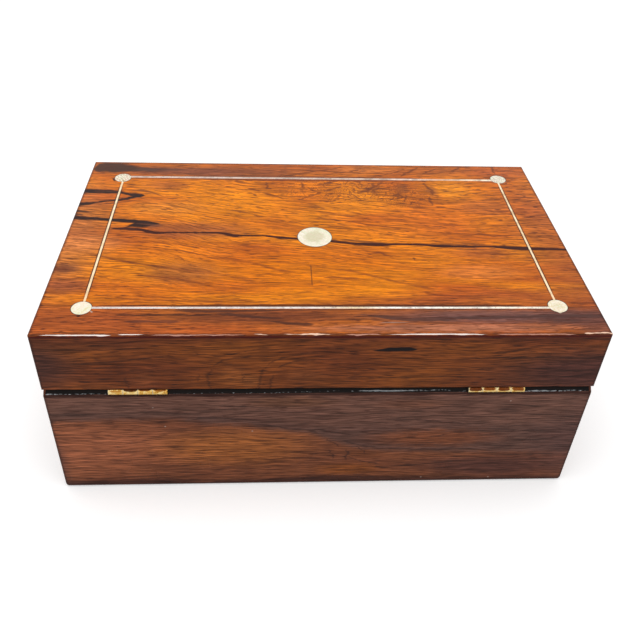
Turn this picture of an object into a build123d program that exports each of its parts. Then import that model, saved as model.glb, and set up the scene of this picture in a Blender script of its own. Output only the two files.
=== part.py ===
"""Victorian rosewood glove box: veneered carcass, inlaid lid, two brass butts and a brass box lock.

Millimetres, +Z up. X runs along the box, -Y is the lock side, +Y is the hinge side, and
the origin is the centre of the underside. The lid is modelled shut and the bolt withdrawn.
"""

from build123d import *
import os

# ---- The box as a whole ----
length = 254.0  # outside, along X
depth = 152.4  # outside, along Y
height = 101.6  # outside, lid shut
seam_height = 66.5  # middle of the joint between lid and base
seam_gap = 0.3  # daylight between the two rims

# ---- Boards, veneers and worn edges ----
board = 8.0  # thickness of the base's four walls
lid_board = 7.5  # thickness of the lid's four rails
bottom_board = 6.0
top_board = 6.0
veneer = 1.0
baize = 0.4  # cloth under the box
baize_inset = 4.0
arris = 0.7  # worn round on the long edges
corner_arris = 0.8  # worn round on the upright corners
bottom_corner = 3.0  # rubbed round on the two bottom end edges
bevel = 2.5  # bevels that meet behind the lid and stop it when it is open
overcut = 1.0  # how far a cutter runs past the wood

# ---- Linings ----
lining = 1.5  # velvet on card
lip = 3.0  # the base's lining stands this far above its rim
lip_headroom = 0.8  # above the lip, under the lid's lining
floor_pad = 4.5
lid_pad = 5.5
pad_gap = 0.3  # round each pad
pad_round = 1.5

# ---- Inlay in the lid ----
side_string_width = 1.0
front_string_width = 1.8
back_string_width = 1.3
string_depth = 0.6
side_string_inset = 19.4  # from the end of the lid to the middle of the string
front_string_inset = 17.4
back_string_inset = 18.4
disc_depth = 0.8
glue_line = 0.05
corner_disc = 9.0  # diameter
centre_disc = 17.5  # diameter
centre_disc_place = (2.0, 1.0)  # from the middle of the lid
# The corner discs were let in by hand, so each is a little off the strings' crossing.
corner_disc_shift = {
    "front_right": (0.5, 1.3),
    "front_left": (-0.8, -1.2),
    "back_right": (0.4, 0.2),
    "back_left": (-0.2, -1.2),
}

# ---- Butt hinges ----
hinge_length = 26.7
right_hinge_inset = 42.6  # from the end of the box to the middle of the hinge
left_hinge_inset = 46.0
pin_inset = 1.6  # the pin's axis, in from the back of the box
knuckle_radius = 1.8
pin_radius = 0.8
pin_clearance = 0.05
knuckle_count = 4  # two on each leaf
knuckle_gap = 0.15
leaf_thickness = 1.0
leaf_reach = 6.6  # from the pin's axis to the leaf's inner edge
leaf_clearance = 0.2  # round the other leaf's knuckles
cove_clearance = 0.3  # between the knuckles and the wood
mortise_clearance = 0.05
hinge_screw_spread = 15.0  # between the two screws of a leaf
hinge_screw_length = 8.0

# ---- Countersunk brass screws ----
screw_head = 3.4  # diameter
screw_head_depth = 0.9
screw_shank = 1.8  # diameter
screw_tip = 0.3  # diameter
screw_slot = 0.4
screw_facets = 12
screw_clearance = 0.03

# ---- Box lock, let into the front of the base ----
lock_length = 50.0
lock_drop = 24.0  # height of the back plate
lock_depth = 6.5  # from the wall's inner face into the wood
lock_plate = 1.0  # thickness of the back plate
selvedge = 1.2  # thickness of the edge plate on the rim
cap_length = 37.0
cap_drop = 21.0
cap_wall = 0.8
cap_clearance = 0.1
lock_screw_inset = 3.0
lock_screw_length = 5.0
key_drop = 14.5  # the key's axis, below the rim
key_pin_radius = 0.8
keyhole_radius = 2.2
keyhole_slot = 1.8
keyhole_foot = 4.6  # from the key's axis to the foot of the slot
escutcheon_wall = 0.8

# ---- Link plate and its two loops, let into the lid's front rail ----
link_length = 44.0
link_plate_thickness = 1.2
link_screw_inset = 5.0
link_screw_length = 8.0
loop_spacing = 16.0
loop_thickness = 1.8  # along X
loop_width = 3.4  # along Y
loop_drop = 7.5  # below the link plate
loop_foot = 1.1  # metal under the eye
eye_height = 3.0
eye_width = 2.0
loop_setback = 3.7  # middle of the loops, from the wall's inner face
slot_clearance = 0.3
slot_swing = 0.8  # room towards the front, for the arc that the loops swing through

# ---- Bolt and its back spring ----
bolt_travel = 4.5
bolt_thickness = 2.0
bolt_height = 4.0
bolt_clearance = 0.45  # under the loops
nose_thickness = 1.3
nose_height = 2.0
nose_reach = 4.3
nose_gap = 0.5  # between a withdrawn nose and its loop
post_width = 2.2
bolt_overhang = 7.2  # of the bar, past its second post
talon_width = 4.4
talon_depth = 1.5
spring_thickness = 0.4
spring_width = 1.6
spring_length = 6.5
spring_gap = 0.3

# ---- Worked out from the sizes above ----
half_length = length / 2
half_depth = depth / 2
base_rim = seam_height - seam_gap / 2
lid_rim = seam_height + seam_gap / 2
base_foot = baize
floor_top = base_foot + bottom_board
lid_top = height - veneer
lid_ceiling = lid_top - top_board
wall = veneer + board  # outside to inside of the base
lid_wall = veneer + lid_board
side_string_x = half_length - side_string_inset
front_string_y = -half_depth + front_string_inset
back_string_y = half_depth - back_string_inset
hinge_places = {"right": half_length - right_hinge_inset, "left": left_hinge_inset - half_length}
pin_y = half_depth - pin_inset
cove_radius = knuckle_radius + cove_clearance
wall_inner_y = -(half_depth - wall)
rail_inner_y = -(half_depth - lid_wall)
lock_outer_y = wall_inner_y - lock_depth
plate_outer_y = wall_inner_y - lock_plate
key_z = base_rim - key_drop
loop_y = wall_inner_y - loop_setback
loop_foot_z = lid_rim - loop_drop
bolt_top = loop_foot_z - bolt_clearance
bolt_foot = bolt_top - bolt_height
nose_middle_z = loop_foot_z + loop_foot + eye_height / 2

os.makedirs("parts", exist_ok=True)


def block(x, y, z):
    """A box between three pairs of limits."""
    size = Box(x[1] - x[0], y[1] - y[0], z[1] - z[0])
    return Pos((x[0] + x[1]) / 2, (y[0] + y[1]) / 2, (z[0] + z[1]) / 2) * size


def rod_x(radius, x, y, z):
    """A round bar along X, between two limits."""
    bar = Rot(0, 90, 0) * Cylinder(radius, x[1] - x[0])
    return Pos((x[0] + x[1]) / 2, y, z) * bar


def rod_y(radius, x, y, z):
    """A round bar along Y, between two limits."""
    bar = Rot(90, 0, 0) * Cylinder(radius, y[1] - y[0])
    return Pos(x, (y[0] + y[1]) / 2, z) * bar


def rod_z(radius, x, y, z):
    """A round bar along Z, between two limits."""
    return Pos(x, y, (z[0] + z[1]) / 2) * Cylinder(radius, z[1] - z[0])


def rounded_profile(width, tall, low_radius, high_radius):
    """A rectangle centred on its plane's origin, with its own radius on the low and high corners."""
    outline = Rectangle(width, tall)
    outline = fillet(outline.vertices().group_by(Axis.Y)[0], low_radius)
    return fillet(outline.vertices().group_by(Axis.Y)[-1], high_radius)


def worn_outline():
    """The whole box as one block, with every outer edge rubbed round by use."""
    tall = height - base_foot
    middle = Pos(0, 0, base_foot + tall / 2)
    end_on = Plane.XZ * rounded_profile(length, tall, bottom_corner, arris)
    side_on = Plane.YZ * rounded_profile(depth, tall, arris, arris)
    plan = Plane.XY * RectangleRounded(length, depth, corner_arris)
    along_y = extrude(end_on, depth, both=True)
    along_x = extrude(side_on, length, both=True)
    along_z = extrude(plan, height, both=True)
    return middle * (along_y & along_x & along_z)


def mitred(side, inset, thickness, low, high):
    """One side of a mitred frame, set in from the outside of the box by inset."""
    outer_x, outer_y = half_length - inset, half_depth - inset
    inner_x, inner_y = outer_x - thickness, outer_y - thickness
    if side in ("front", "back"):
        flip = -1 if side == "front" else 1
        corners = [
            (-outer_x, flip * outer_y),
            (outer_x, flip * outer_y),
            (inner_x, flip * inner_y),
            (-inner_x, flip * inner_y),
        ]
    else:
        flip = -1 if side == "left" else 1
        corners = [
            (flip * outer_x, -outer_y),
            (flip * outer_x, outer_y),
            (flip * inner_x, inner_y),
            (flip * inner_x, -inner_y),
        ]
    plan = make_face(Polyline(*corners, close=True))
    piece = extrude(plan, high - low)
    if piece.bounding_box().min.Z < -high / 2:
        piece = Pos(0, 0, high - low) * piece
    return Pos(0, 0, low) * piece


def bevel_cutter(rim, up):
    """The wedge taken off the back edge of a rim; up is 1 for the base and -1 for the lid."""
    inner_y, far_y = half_depth - bevel - overcut, half_depth + overcut
    corners = [
        (inner_y, rim + up * overcut),
        (far_y, rim + up * overcut),
        (far_y, rim - up * (bevel + overcut)),
    ]
    wedge = Plane.YZ * make_face(Polyline(*corners, close=True))
    return extrude(wedge, half_length + overcut, both=True)


def faceted_turning(radii):
    """A small turned form with flat sides; radii gives its radius at each depth below the origin."""
    turns = [360 * n / screw_facets for n in range(screw_facets)]
    rings = [[Vector(radius, 0, -drop).rotate(Axis.Z, turn) for turn in turns] for drop, radius in radii.items()]
    outlines = [rings[0], rings[-1]]
    for upper, lower in zip(rings, rings[1:]):
        outlines += [(upper[n - 1], upper[n], lower[n], lower[n - 1]) for n in range(screw_facets)]
    return Solid(Shell([make_face(Polyline(*outline, close=True)) for outline in outlines]))


def screw_radii(total, grow=0.0):
    """A countersunk wood screw's radius at each depth below the top of its head."""
    return {
        0: screw_head / 2 + grow,
        screw_head_depth: screw_shank / 2 + grow,
        total - 2 * screw_shank: screw_shank / 2 + grow,
        total + grow: screw_tip / 2 + grow,
    }


def screw(total):
    """A slotted screw, its head's top at the origin and its point down -Z."""
    head = screw_head / 2
    slot = block((-head, head), (-screw_slot / 2, screw_slot / 2), (-screw_slot, screw_slot))
    return faceted_turning(screw_radii(total)) - slot


def screw_hole(total):
    """The hole that a screw fills, a hair larger all round and open above its head."""
    radii = screw_radii(total, screw_clearance)
    return faceted_turning({-overcut: radii[0], **radii})


def solids_of(shapes):
    """One compound from several separate pieces."""
    return Compound([solid for shape in shapes for solid in shape.solids()])


# ---- Butt hinges ----


def knuckle_spans(middle):
    """The X limits of each knuckle of a hinge, with a hair of room at both ends."""
    pitch = hinge_length / knuckle_count
    start = middle - hinge_length / 2
    return [
        (start + pitch * n + knuckle_gap / 2, start + pitch * (n + 1) - knuckle_gap / 2)
        for n in range(knuckle_count)
    ]


def hinge_leaf(middle, first, up):
    """A leaf with every second knuckle; up is 1 for the lid's leaf and -1 for the base's."""
    face = seam_height + up * seam_gap / 2
    x = (middle - hinge_length / 2, middle + hinge_length / 2)
    z = sorted((face, face + up * leaf_thickness))
    leaf = block(x, (pin_y - leaf_reach, pin_y), z)
    spans = knuckle_spans(middle)
    for span in spans[first::2]:
        leaf += rod_x(knuckle_radius, span, pin_y, seam_height)
    for span in spans[1 - first :: 2]:
        room = (span[0] - knuckle_gap, span[1] + knuckle_gap)
        leaf -= rod_x(knuckle_radius + leaf_clearance, room, pin_y, seam_height)
    gaps = [x[0]] + [limit for span in spans for limit in span] + [x[1]]
    for low, high in zip(gaps[0::2], gaps[1::2]):
        leaf -= block((low, high), (pin_y - knuckle_radius, pin_y + overcut), z)
    leaf -= rod_x(pin_radius + pin_clearance, x, pin_y, seam_height)
    return leaf - solids_of(hinge_screws(middle, up, screw_hole))


def hinge_screws(middle, up, shape):
    """The two screws of a leaf, or the holes for them, driven away from the seam."""
    face = seam_height + up * seam_gap / 2
    y = pin_y - (knuckle_radius + leaf_reach) / 2
    turn = Rot(180, 0, 0) if up > 0 else Rot(0, 0, 0)
    offsets = (-hinge_screw_spread / 2, hinge_screw_spread / 2)
    return [Pos(middle + dx, y, face) * turn * shape(hinge_screw_length) for dx in offsets]


def hinge_room(middle, up):
    """What a hinge takes out of the wood: the leaf's mortise, the knuckles' cove and the screw holes."""
    face = seam_height + up * seam_gap / 2
    half = hinge_length / 2 + mortise_clearance
    z = sorted((face - up * overcut, face + up * leaf_thickness))
    y = (pin_y - leaf_reach - mortise_clearance, half_depth + overcut)
    mortise = block((middle - half, middle + half), y, z)
    cove = rod_x(cove_radius, (middle - half, middle + half), pin_y, seam_height)
    return solids_of([mortise + cove, *hinge_screws(middle, up, screw_hole)])


# ---- Box lock ----


def keyhole(grow, y):
    """A keyhole along Y: a round eye over a straight slot with a round foot."""
    radius, half = keyhole_radius + grow, keyhole_slot / 2 + grow
    foot = key_z - keyhole_foot + keyhole_slot / 2
    eye = rod_y(radius, 0, y, key_z)
    slot = block((-half, half), y, (foot, key_z))
    return eye + slot + rod_y(half, 0, y, foot)


def lock_screws(shape):
    """The four screws at the corners of the lock's back plate, or the holes for them."""
    x = lock_length / 2 - lock_screw_inset
    top = base_rim - selvedge - lock_screw_inset
    foot = base_rim - lock_drop + lock_screw_inset
    return [
        Pos(side * x, wall_inner_y, z) * Rot(-90, 0, 0) * shape(lock_screw_length)
        for side in (-1, 1)
        for z in (top, foot)
    ]


def loop_places():
    """The middle of each loop, along X."""
    return (-loop_spacing / 2, loop_spacing / 2)


def make_lock_plate():
    """Back plate and selvedge in one piece, as cast, with a slot for each loop."""
    half = lock_length / 2
    back = block((-half, half), (plate_outer_y, wall_inner_y), (base_rim - lock_drop, base_rim))
    edge = block((-half, half), (lock_outer_y, wall_inner_y), (base_rim - selvedge, base_rim))
    plate = back + edge
    for x in loop_places():
        reach = loop_thickness / 2 + slot_clearance
        y = (loop_y - loop_width / 2 - slot_swing, loop_y + loop_width / 2 + slot_clearance)
        plate -= block((x - reach, x + reach), y, (base_rim - selvedge - overcut, base_rim + overcut))
    plate -= rod_y(key_pin_radius, 0, (plate_outer_y - overcut, wall_inner_y + overcut), key_z)
    return plate - solids_of(lock_screws(screw_hole))


def make_lock_cap():
    """The folded cover over the works, open towards the back plate and the selvedge."""
    half = cap_length / 2
    foot, top = base_rim - cap_drop, base_rim - selvedge
    shell = block((-half, half), (lock_outer_y, plate_outer_y), (foot, top))
    inner_x = (-half + cap_wall, half - cap_wall)
    inner_y = (lock_outer_y + cap_wall, plate_outer_y + overcut)
    shell -= block(inner_x, inner_y, (foot + cap_wall, top + overcut))
    return shell - keyhole(0, (lock_outer_y - overcut, lock_outer_y + cap_wall + overcut))


def make_bolt():
    """The sliding bolt: a bar with a talon for the key and a hooked nose for each loop."""
    y = (loop_y - bolt_thickness / 2, loop_y + bolt_thickness / 2)
    nose_y = (loop_y - nose_thickness / 2, loop_y + nose_thickness / 2)
    nose_z = (nose_middle_z - nose_height / 2, nose_middle_z + nose_height / 2)
    posts = []
    for x in loop_places():
        tip = x - loop_thickness / 2 - nose_gap
        post = (tip - nose_reach - post_width, tip - nose_reach)
        hook = block(post, nose_y, (bolt_top - overcut, nose_z[1]))
        nose = block((post[0], tip), nose_y, nose_z)
        nose_edges = nose.edges().filter_by(Axis.Y).sort_by(Axis.X)[-2:]
        posts.append((post, hook + fillet(nose_edges, nose_height / 4)))
    bar = block((posts[0][0][0], posts[-1][0][1] + bolt_overhang), y, (bolt_foot, bolt_top))
    bolt = bar + posts[0][1] + posts[1][1]
    talon = (-talon_width / 2, talon_width / 2)
    return bolt - block(talon, (y[0] - overcut, y[1] + overcut), (bolt_foot - overcut, bolt_foot + talon_depth))


def make_bolt_spring():
    """The bowed back spring, riveted under the tail of the bolt and rubbing on the cap's floor."""
    tail = loop_places()[0] - loop_thickness / 2 - nose_gap - nose_reach - post_width
    floor = base_rim - cap_drop + cap_wall + spring_gap
    start = (tail + spring_thickness, bolt_foot)
    low = (tail + spring_length / 2, floor + spring_thickness / 2)
    end = (tail + spring_length, floor + spring_length / 3)
    bow = Plane.XZ * Spline(start, low, end, tangents=[(0, -1), (0.4, 1)])
    strip = Plane.XZ * trace(Plane.XZ.to_local_coords(bow), spring_thickness)
    spring = extrude(strip, spring_width / 2, both=True)
    return Pos(0, loop_y, 0) * spring


def make_link_plate():
    """The lid's link plate, with two eyed loops that drop through the selvedge."""
    half = link_length / 2
    y = (lock_outer_y, rail_inner_y)
    plate = block((-half, half), y, (lid_rim, lid_rim + link_plate_thickness))
    for x in loop_places():
        side = (x - loop_thickness / 2, x + loop_thickness / 2)
        across = (loop_y - loop_width / 2, loop_y + loop_width / 2)
        foot = loop_foot_z + loop_width / 2
        loop = block(side, across, (foot, lid_rim)) + rod_x(loop_width / 2, side, loop_y, foot)
        eye_y = (loop_y - eye_width / 2, loop_y + eye_width / 2)
        eye_z = (loop_foot_z + loop_foot, loop_foot_z + loop_foot + eye_height)
        plate += loop - block(side, eye_y, eye_z)
    return plate - solids_of(link_screws(screw_hole))


def link_screws(shape):
    """The two screws of the link plate, or the holes for them, driven up into the rail."""
    x = link_length / 2 - link_screw_inset
    return [Pos(side * x, loop_y, lid_rim) * Rot(180, 0, 0) * shape(link_screw_length) for side in (-1, 1)]


def lock_room():
    """What the lock takes out of the front wall."""
    half = lock_length / 2
    above = base_rim + overcut
    plate = block((-half, half), (plate_outer_y, wall_inner_y + overcut), (base_rim - lock_drop, above))
    edge = block((-half, half), (lock_outer_y, wall_inner_y + overcut), (base_rim - selvedge, above))
    case_half = cap_length / 2 + cap_clearance
    case_foot = base_rim - cap_drop - cap_clearance
    case = block((-case_half, case_half), (lock_outer_y, wall_inner_y), (case_foot, base_rim))
    hole = keyhole(escutcheon_wall, (-half_depth - overcut, lock_outer_y + overcut))
    return solids_of([plate + edge + case + hole, *lock_screws(screw_hole)])


def link_room():
    """What the link plate takes out of the lid's front rail."""
    half = link_length / 2
    y = (lock_outer_y, rail_inner_y + overcut)
    recess = block((-half, half), y, (lid_rim - overcut, lid_rim + link_plate_thickness))
    return solids_of([recess, *link_screws(screw_hole)])


# ---- Inlay ----


def corner_disc_places():
    """The middle of each corner disc."""
    places = {}
    for name, shift in corner_disc_shift.items():
        x = side_string_x if "right" in name else -side_string_x
        y = back_string_y if "back" in name else front_string_y
        places[name + "_disc"] = (x + shift[0], y + shift[1])
    return places


def disc(place, diameter, grow=0.0, low=None):
    """A round of shell let into the lid, or the pocket for it."""
    bottom = height - disc_depth if low is None else low
    return rod_z(diameter / 2 + grow, *place, (bottom, height + (overcut if grow else 0)))


def edges_of(middle, width):
    """The two edges of a strip of this width."""
    return (middle - width / 2, middle + width / 2)


def strings(above=0.0):
    """The four strings, each stopped against the corner discs."""
    z = (height - string_depth, height + above)
    ends, edges = (-side_string_x, side_string_x), (front_string_y, back_string_y)
    bars = {
        "front_string": block(ends, edges_of(front_string_y, front_string_width), z),
        "back_string": block(ends, edges_of(back_string_y, back_string_width), z),
        "left_string": block(edges_of(-side_string_x, side_string_width), edges, z),
        "right_string": block(edges_of(side_string_x, side_string_width), edges, z),
    }
    stops = [
        disc(place, corner_disc, glue_line, height - veneer) for place in corner_disc_places().values()
    ]
    return {name: bar - solids_of(stops) for name, bar in bars.items()}


# ---- The pieces, each in a node of its own ----

nodes = {}
sides = ("front", "back", "left", "right")
outline = worn_outline()
base_bevel = bevel_cutter(base_rim, 1)
lid_bevel = bevel_cutter(lid_rim, -1)
base_hinge_room = solids_of([hinge_room(middle, -1) for middle in hinge_places.values()])
lid_hinge_room = solids_of([hinge_room(middle, 1) for middle in hinge_places.values()])

# Base: bottom board under four mitred walls, veneered outside and lined inside.
carcass_x = (-half_length + veneer, half_length - veneer)
carcass_y = (-half_depth + veneer, half_depth - veneer)
nodes["bottom_board"] = block(carcass_x, carcass_y, (base_foot, floor_top)) & outline
for side in sides:
    core = mitred(side, veneer, board, floor_top, base_rim) - base_bevel
    skin = (mitred(side, 0, veneer, base_foot, base_rim) & outline) - base_bevel
    if side == "back":
        core, skin = core - base_hinge_room, skin - base_hinge_room
    if side == "front":
        core, skin = core - lock_room(), skin - keyhole(escutcheon_wall, (-depth, lock_outer_y + overcut))
    nodes[f"base_{side}_board"] = core
    nodes[f"base_{side}_veneer"] = skin
    nodes[f"base_{side}_lining"] = mitred(side, wall, lining, floor_top, base_rim + lip)

inside_x = half_length - wall - lining - pad_gap
inside_y = half_depth - wall - lining - pad_gap
pad = block((-inside_x, inside_x), (-inside_y, inside_y), (floor_top, floor_top + floor_pad))
nodes["floor_pad"] = fillet(pad.edges().group_by(Axis.Z)[-1], pad_round)
cloth_x, cloth_y = half_length - baize_inset, half_depth - baize_inset
nodes["underside_baize"] = block((-cloth_x, cloth_x), (-cloth_y, cloth_y), (0, baize))

# Lid: top board over four mitred rails, veneered outside and lined inside.
nodes["lid_top_board"] = block(carcass_x, carcass_y, (lid_ceiling, lid_top))
lid_lining_foot = base_rim + lip + lip_headroom
for side in sides:
    core = mitred(side, veneer, lid_board, lid_rim, lid_ceiling) - lid_bevel
    skin = (mitred(side, 0, veneer, lid_rim, lid_top) & outline) - lid_bevel
    if side == "back":
        core, skin = core - lid_hinge_room, skin - lid_hinge_room
    if side == "front":
        core = core - link_room()
    nodes[f"lid_{side}_rail"] = core
    nodes[f"lid_{side}_veneer"] = skin
    nodes[f"lid_{side}_lining"] = mitred(side, lid_wall, lining, lid_lining_foot, lid_ceiling)

lid_inside_x = half_length - lid_wall - lining - pad_gap
lid_inside_y = half_depth - lid_wall - lining - pad_gap
pad = block((-lid_inside_x, lid_inside_x), (-lid_inside_y, lid_inside_y), (lid_ceiling - lid_pad, lid_ceiling))
nodes["lid_pad"] = fillet(pad.edges().group_by(Axis.Z)[0], pad_round)

sheet = block((-half_length, half_length), (-half_depth, half_depth), (lid_top, height)) & outline
pockets = [disc(place, corner_disc, glue_line) for place in corner_disc_places().values()]
pockets.append(disc(centre_disc_place, centre_disc, glue_line))
nodes["lid_top_veneer"] = sheet - solids_of(pockets) - solids_of(strings(overcut).values())
nodes.update(strings())
for name, place in corner_disc_places().items():
    nodes[name] = disc(place, corner_disc)
nodes["centre_disc"] = disc(centre_disc_place, centre_disc)

# Hinges: the base's leaf has the first and third knuckles, the lid's the others.
for side, middle in hinge_places.items():
    nodes[f"{side}_hinge_base_leaf"] = hinge_leaf(middle, 0, -1)
    nodes[f"{side}_hinge_lid_leaf"] = hinge_leaf(middle, 1, 1)
    ends = (middle - hinge_length / 2, middle + hinge_length / 2)
    nodes[f"{side}_hinge_pin"] = rod_x(pin_radius, ends, pin_y, seam_height)
for part, up in (("base", -1), ("lid", 1)):
    driven = [one for middle in hinge_places.values() for one in hinge_screws(middle, up, screw)]
    nodes[f"{part}_hinge_screws"] = solids_of(driven)

# Lock in the base, link plate in the lid.
nodes["lock_plate"] = make_lock_plate()
nodes["lock_cap"] = make_lock_cap()
nodes["lock_screws"] = solids_of(lock_screws(screw))
nodes["lock_key_pin"] = rod_y(key_pin_radius, 0, (lock_outer_y, wall_inner_y), key_z)
rim_y = (-half_depth, lock_outer_y)
nodes["keyhole_escutcheon"] = keyhole(escutcheon_wall, rim_y) - keyhole(0, (-depth, lock_outer_y + overcut))
nodes["lock_bolt"] = make_bolt()
nodes["bolt_spring"] = make_bolt_spring()
nodes["link_plate"] = make_link_plate()
nodes["link_screws"] = solids_of(link_screws(screw))

for name, shape in nodes.items():
    export_step(shape, f"parts/{name}.step")
print(len(nodes), "nodes")
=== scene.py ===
"""Dresses a Victorian rosewood glove box: veneers, inlay, brasses, linings and a plain studio.

Metres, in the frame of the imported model: X runs along the box, -Y is the lock side, +Y is the
hinge side and Z is up. Sizes in the classes below are in millimetres, as a box maker has them.
"""

import logging
from dataclasses import dataclass
from enum import Enum

import bmesh
import bpy
from mathutils import Matrix, Vector


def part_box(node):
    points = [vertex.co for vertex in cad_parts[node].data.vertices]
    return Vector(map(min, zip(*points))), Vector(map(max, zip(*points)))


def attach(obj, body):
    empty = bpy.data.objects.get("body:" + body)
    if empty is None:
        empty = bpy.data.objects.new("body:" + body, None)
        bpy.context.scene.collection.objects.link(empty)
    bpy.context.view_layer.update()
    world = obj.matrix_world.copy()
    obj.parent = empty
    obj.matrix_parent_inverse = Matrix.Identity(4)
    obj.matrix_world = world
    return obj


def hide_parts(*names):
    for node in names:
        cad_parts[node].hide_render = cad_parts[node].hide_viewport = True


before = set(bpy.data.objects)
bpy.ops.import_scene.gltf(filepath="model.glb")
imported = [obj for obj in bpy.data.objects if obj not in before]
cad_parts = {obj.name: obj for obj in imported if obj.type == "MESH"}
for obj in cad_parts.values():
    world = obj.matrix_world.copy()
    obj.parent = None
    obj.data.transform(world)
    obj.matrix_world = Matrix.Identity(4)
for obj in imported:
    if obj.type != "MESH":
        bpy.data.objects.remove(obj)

MM = 0.001
LOG = logging.getLogger("glove_box")

# The box, in millimetres. Figure and marks are set out from its corners.
HALF_LENGTH = 127.0
HALF_DEPTH = 76.2
HEIGHT = 101.6
LENGTH = 2 * HALF_LENGTH
SIDES = ("front", "back", "left", "right")

Socket = bpy.types.NodeSocket
Value = Socket | float | tuple | None
Point = tuple[float, float]
Triple = tuple[float, float, float]
Tones = tuple[str, str, str]  # a wood's light, warm and dark sRGB tones
Colour = tuple[float, float, float, float]

TINTED = {"out": 2, "data_type": "RGBA"}  # for a mix of two colours, which are its inputs 6 and 7
WHITE = (1.0, 1.0, 1.0, 1.0)
CARRIED = 2.0  # how far past its end a streak is held at nothing
ROUNDED = {"segments": 4, "profile": 0.5, "affect": "EDGES", "material": -1}  # a bevel in four steps


def paint(code: str) -> Colour:
    """Turns an sRGB hex value into a linear colour.

    Args:
        code: The colour as "#RRGGBB".

    Returns:
        Linear red, green, blue and an alpha of 1.
    """
    shares = [int(code[start : start + 2], 16) / 255 for start in (1, 3, 5)]
    linear = [c / 12.92 if c <= 0.04045 else ((c + 0.055) / 1.055) ** 2.4 for c in shares]
    return (*linear, 1.0)


class Recipe:
    """One node tree: a finish, or the studio's sky."""

    def __init__(self, owner: bpy.types.Material | bpy.types.World) -> None:
        """Empties the owner's node tree.

        Args:
            owner: The material or the world.
        """
        owner.use_nodes = True
        self.owner = owner
        self.tree = owner.node_tree
        self.tree.nodes.clear()
        self.made: dict[tuple, bpy.types.Node] = {}

    def add(
        self,
        kind: str,
        *values: Value,
        out: int | str = 0,
        named: dict[int | str, Value] | None = None,
        stops: tuple[tuple[float, str], ...] = (),
        bends: tuple[Point, ...] = (),
        **settings: object,
    ) -> Socket | None:
        """Adds a node with its settings and its links, or finds the one that is just like it.

        Args:
            kind: The node's type, without the words that every shader node starts with.
            values: What goes into the first inputs, in order; None leaves an input alone.
            out: Which output is handed back.
            named: What goes into other inputs, by name or number.
            stops: A colour ramp's places and sRGB colours.
            bends: A curve's control points, each from 0 to 1.
            settings: The node's own settings.

        Returns:
            The chosen output, where the node has one.
        """
        inputs = [*enumerate(values), *(named or {}).items()]
        look = (kind, str(inputs), stops, bends, str(settings))
        if look in self.made:
            return self.made[look].outputs[out]
        node = self.made[look] = self.tree.nodes.new("ShaderNode" + kind)
        for key, setting in settings.items():
            setattr(node, key, setting)
        for key, value in inputs:
            if isinstance(value, bpy.types.NodeSocket):
                self.tree.links.new(value, node.inputs[key])
            elif value is not None:
                node.inputs[key].default_value = value
        for number, (place, code) in enumerate(stops):
            ramp = node.color_ramp.elements
            stop = ramp[number] if number < 2 else ramp.new(place)
            stop.position = place
            stop.color = paint(code)
        if bends:
            node.mapping.extend = "HORIZONTAL"
            line = node.mapping.curves[0]
            for number, (x, y) in enumerate(bends):
                spot = line.points[number] if number < 2 else line.points.new(x, y)
                spot.location = (x, y)
            for spot in line.points:
                spot.handle_type = "AUTO_CLAMPED"
            node.mapping.update()
        return node.outputs[out] if len(node.outputs) else None

    def finish(self, shader: Socket) -> bpy.types.Material:
        """Joins the shader to the output.

        Args:
            shader: The finished surface.

        Returns:
            The material.
        """
        self.add("OutputMaterial", shader)
        return self.owner


@dataclass(frozen=True)
class Finish:
    """What every finish of the box starts from and ends with."""

    name: str

    def material(self) -> bpy.types.Material:
        """Builds the finish.

        Returns:
            The material, called by the real finish's name.
        """
        recipe = Recipe(bpy.data.materials.new(self.name))
        place = recipe.add("TexCoord", out="Object")
        place = recipe.add("VectorMath", place, (1 / MM,) * 3, operation="MULTIPLY")
        return recipe.finish(recipe.add("BsdfPrincipled", named=self.surface(recipe, place)))

    def surface(self, recipe: Recipe, place: Socket) -> dict[str, Value]:
        """Works out what goes into the shader; each finish has its own way.

        Args:
            recipe: The material in hand.
            place: Each point's place, in millimetres.

        Returns:
            The shader's inputs by name.
        """
        raise NotImplementedError(self.name)


def new_piece(name: str, shape: bmesh.types.BMesh) -> bpy.types.Object:
    """Turns a finished shape into an object of the scene.

    Args:
        name: The object's name.
        shape: Its shape, which is freed.

    Returns:
        The object, at the origin.
    """
    mesh = bpy.data.meshes.new(name)
    shape.to_mesh(mesh)
    shape.free()
    piece = bpy.data.objects.new(name, mesh)
    bpy.context.scene.collection.objects.link(piece)
    return piece


def hand_in(piece: bpy.types.Object, body: str, node: str, finish: str) -> None:
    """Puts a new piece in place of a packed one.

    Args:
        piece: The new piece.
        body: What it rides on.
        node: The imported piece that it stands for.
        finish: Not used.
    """
    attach(piece, body)
    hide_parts(node)
    LOG.info("%s built", piece.name)


def dress(piece: bpy.types.Object, material: bpy.types.Material) -> None:
    """Gives a piece one material all over and reports it.

    Args:
        piece: The mesh object.
        material: Its finish.
    """
    slots = piece.data.materials
    if not slots:
        slots.append(material)
    for number in range(len(slots)):
        slots[number] = material
    LOG.info("%s dressed in %s", piece.name, material.name)


# ---- Rosewood ----


class Grain(Enum):
    """Which way a veneer's face lies: the axes along its grain, across it and through it.

    Figure is set out in millimetres from a corner. Along is from the box's left end as someone
    at the hinge side sees it, or from the lock side on the ends. Across is from the lock side on
    the lid, and from the floor on the walls.
    """

    TOP = (0, 1, 2)
    LONG_SIDE = (0, 2, 1)
    END = (1, 2, 0)


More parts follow.
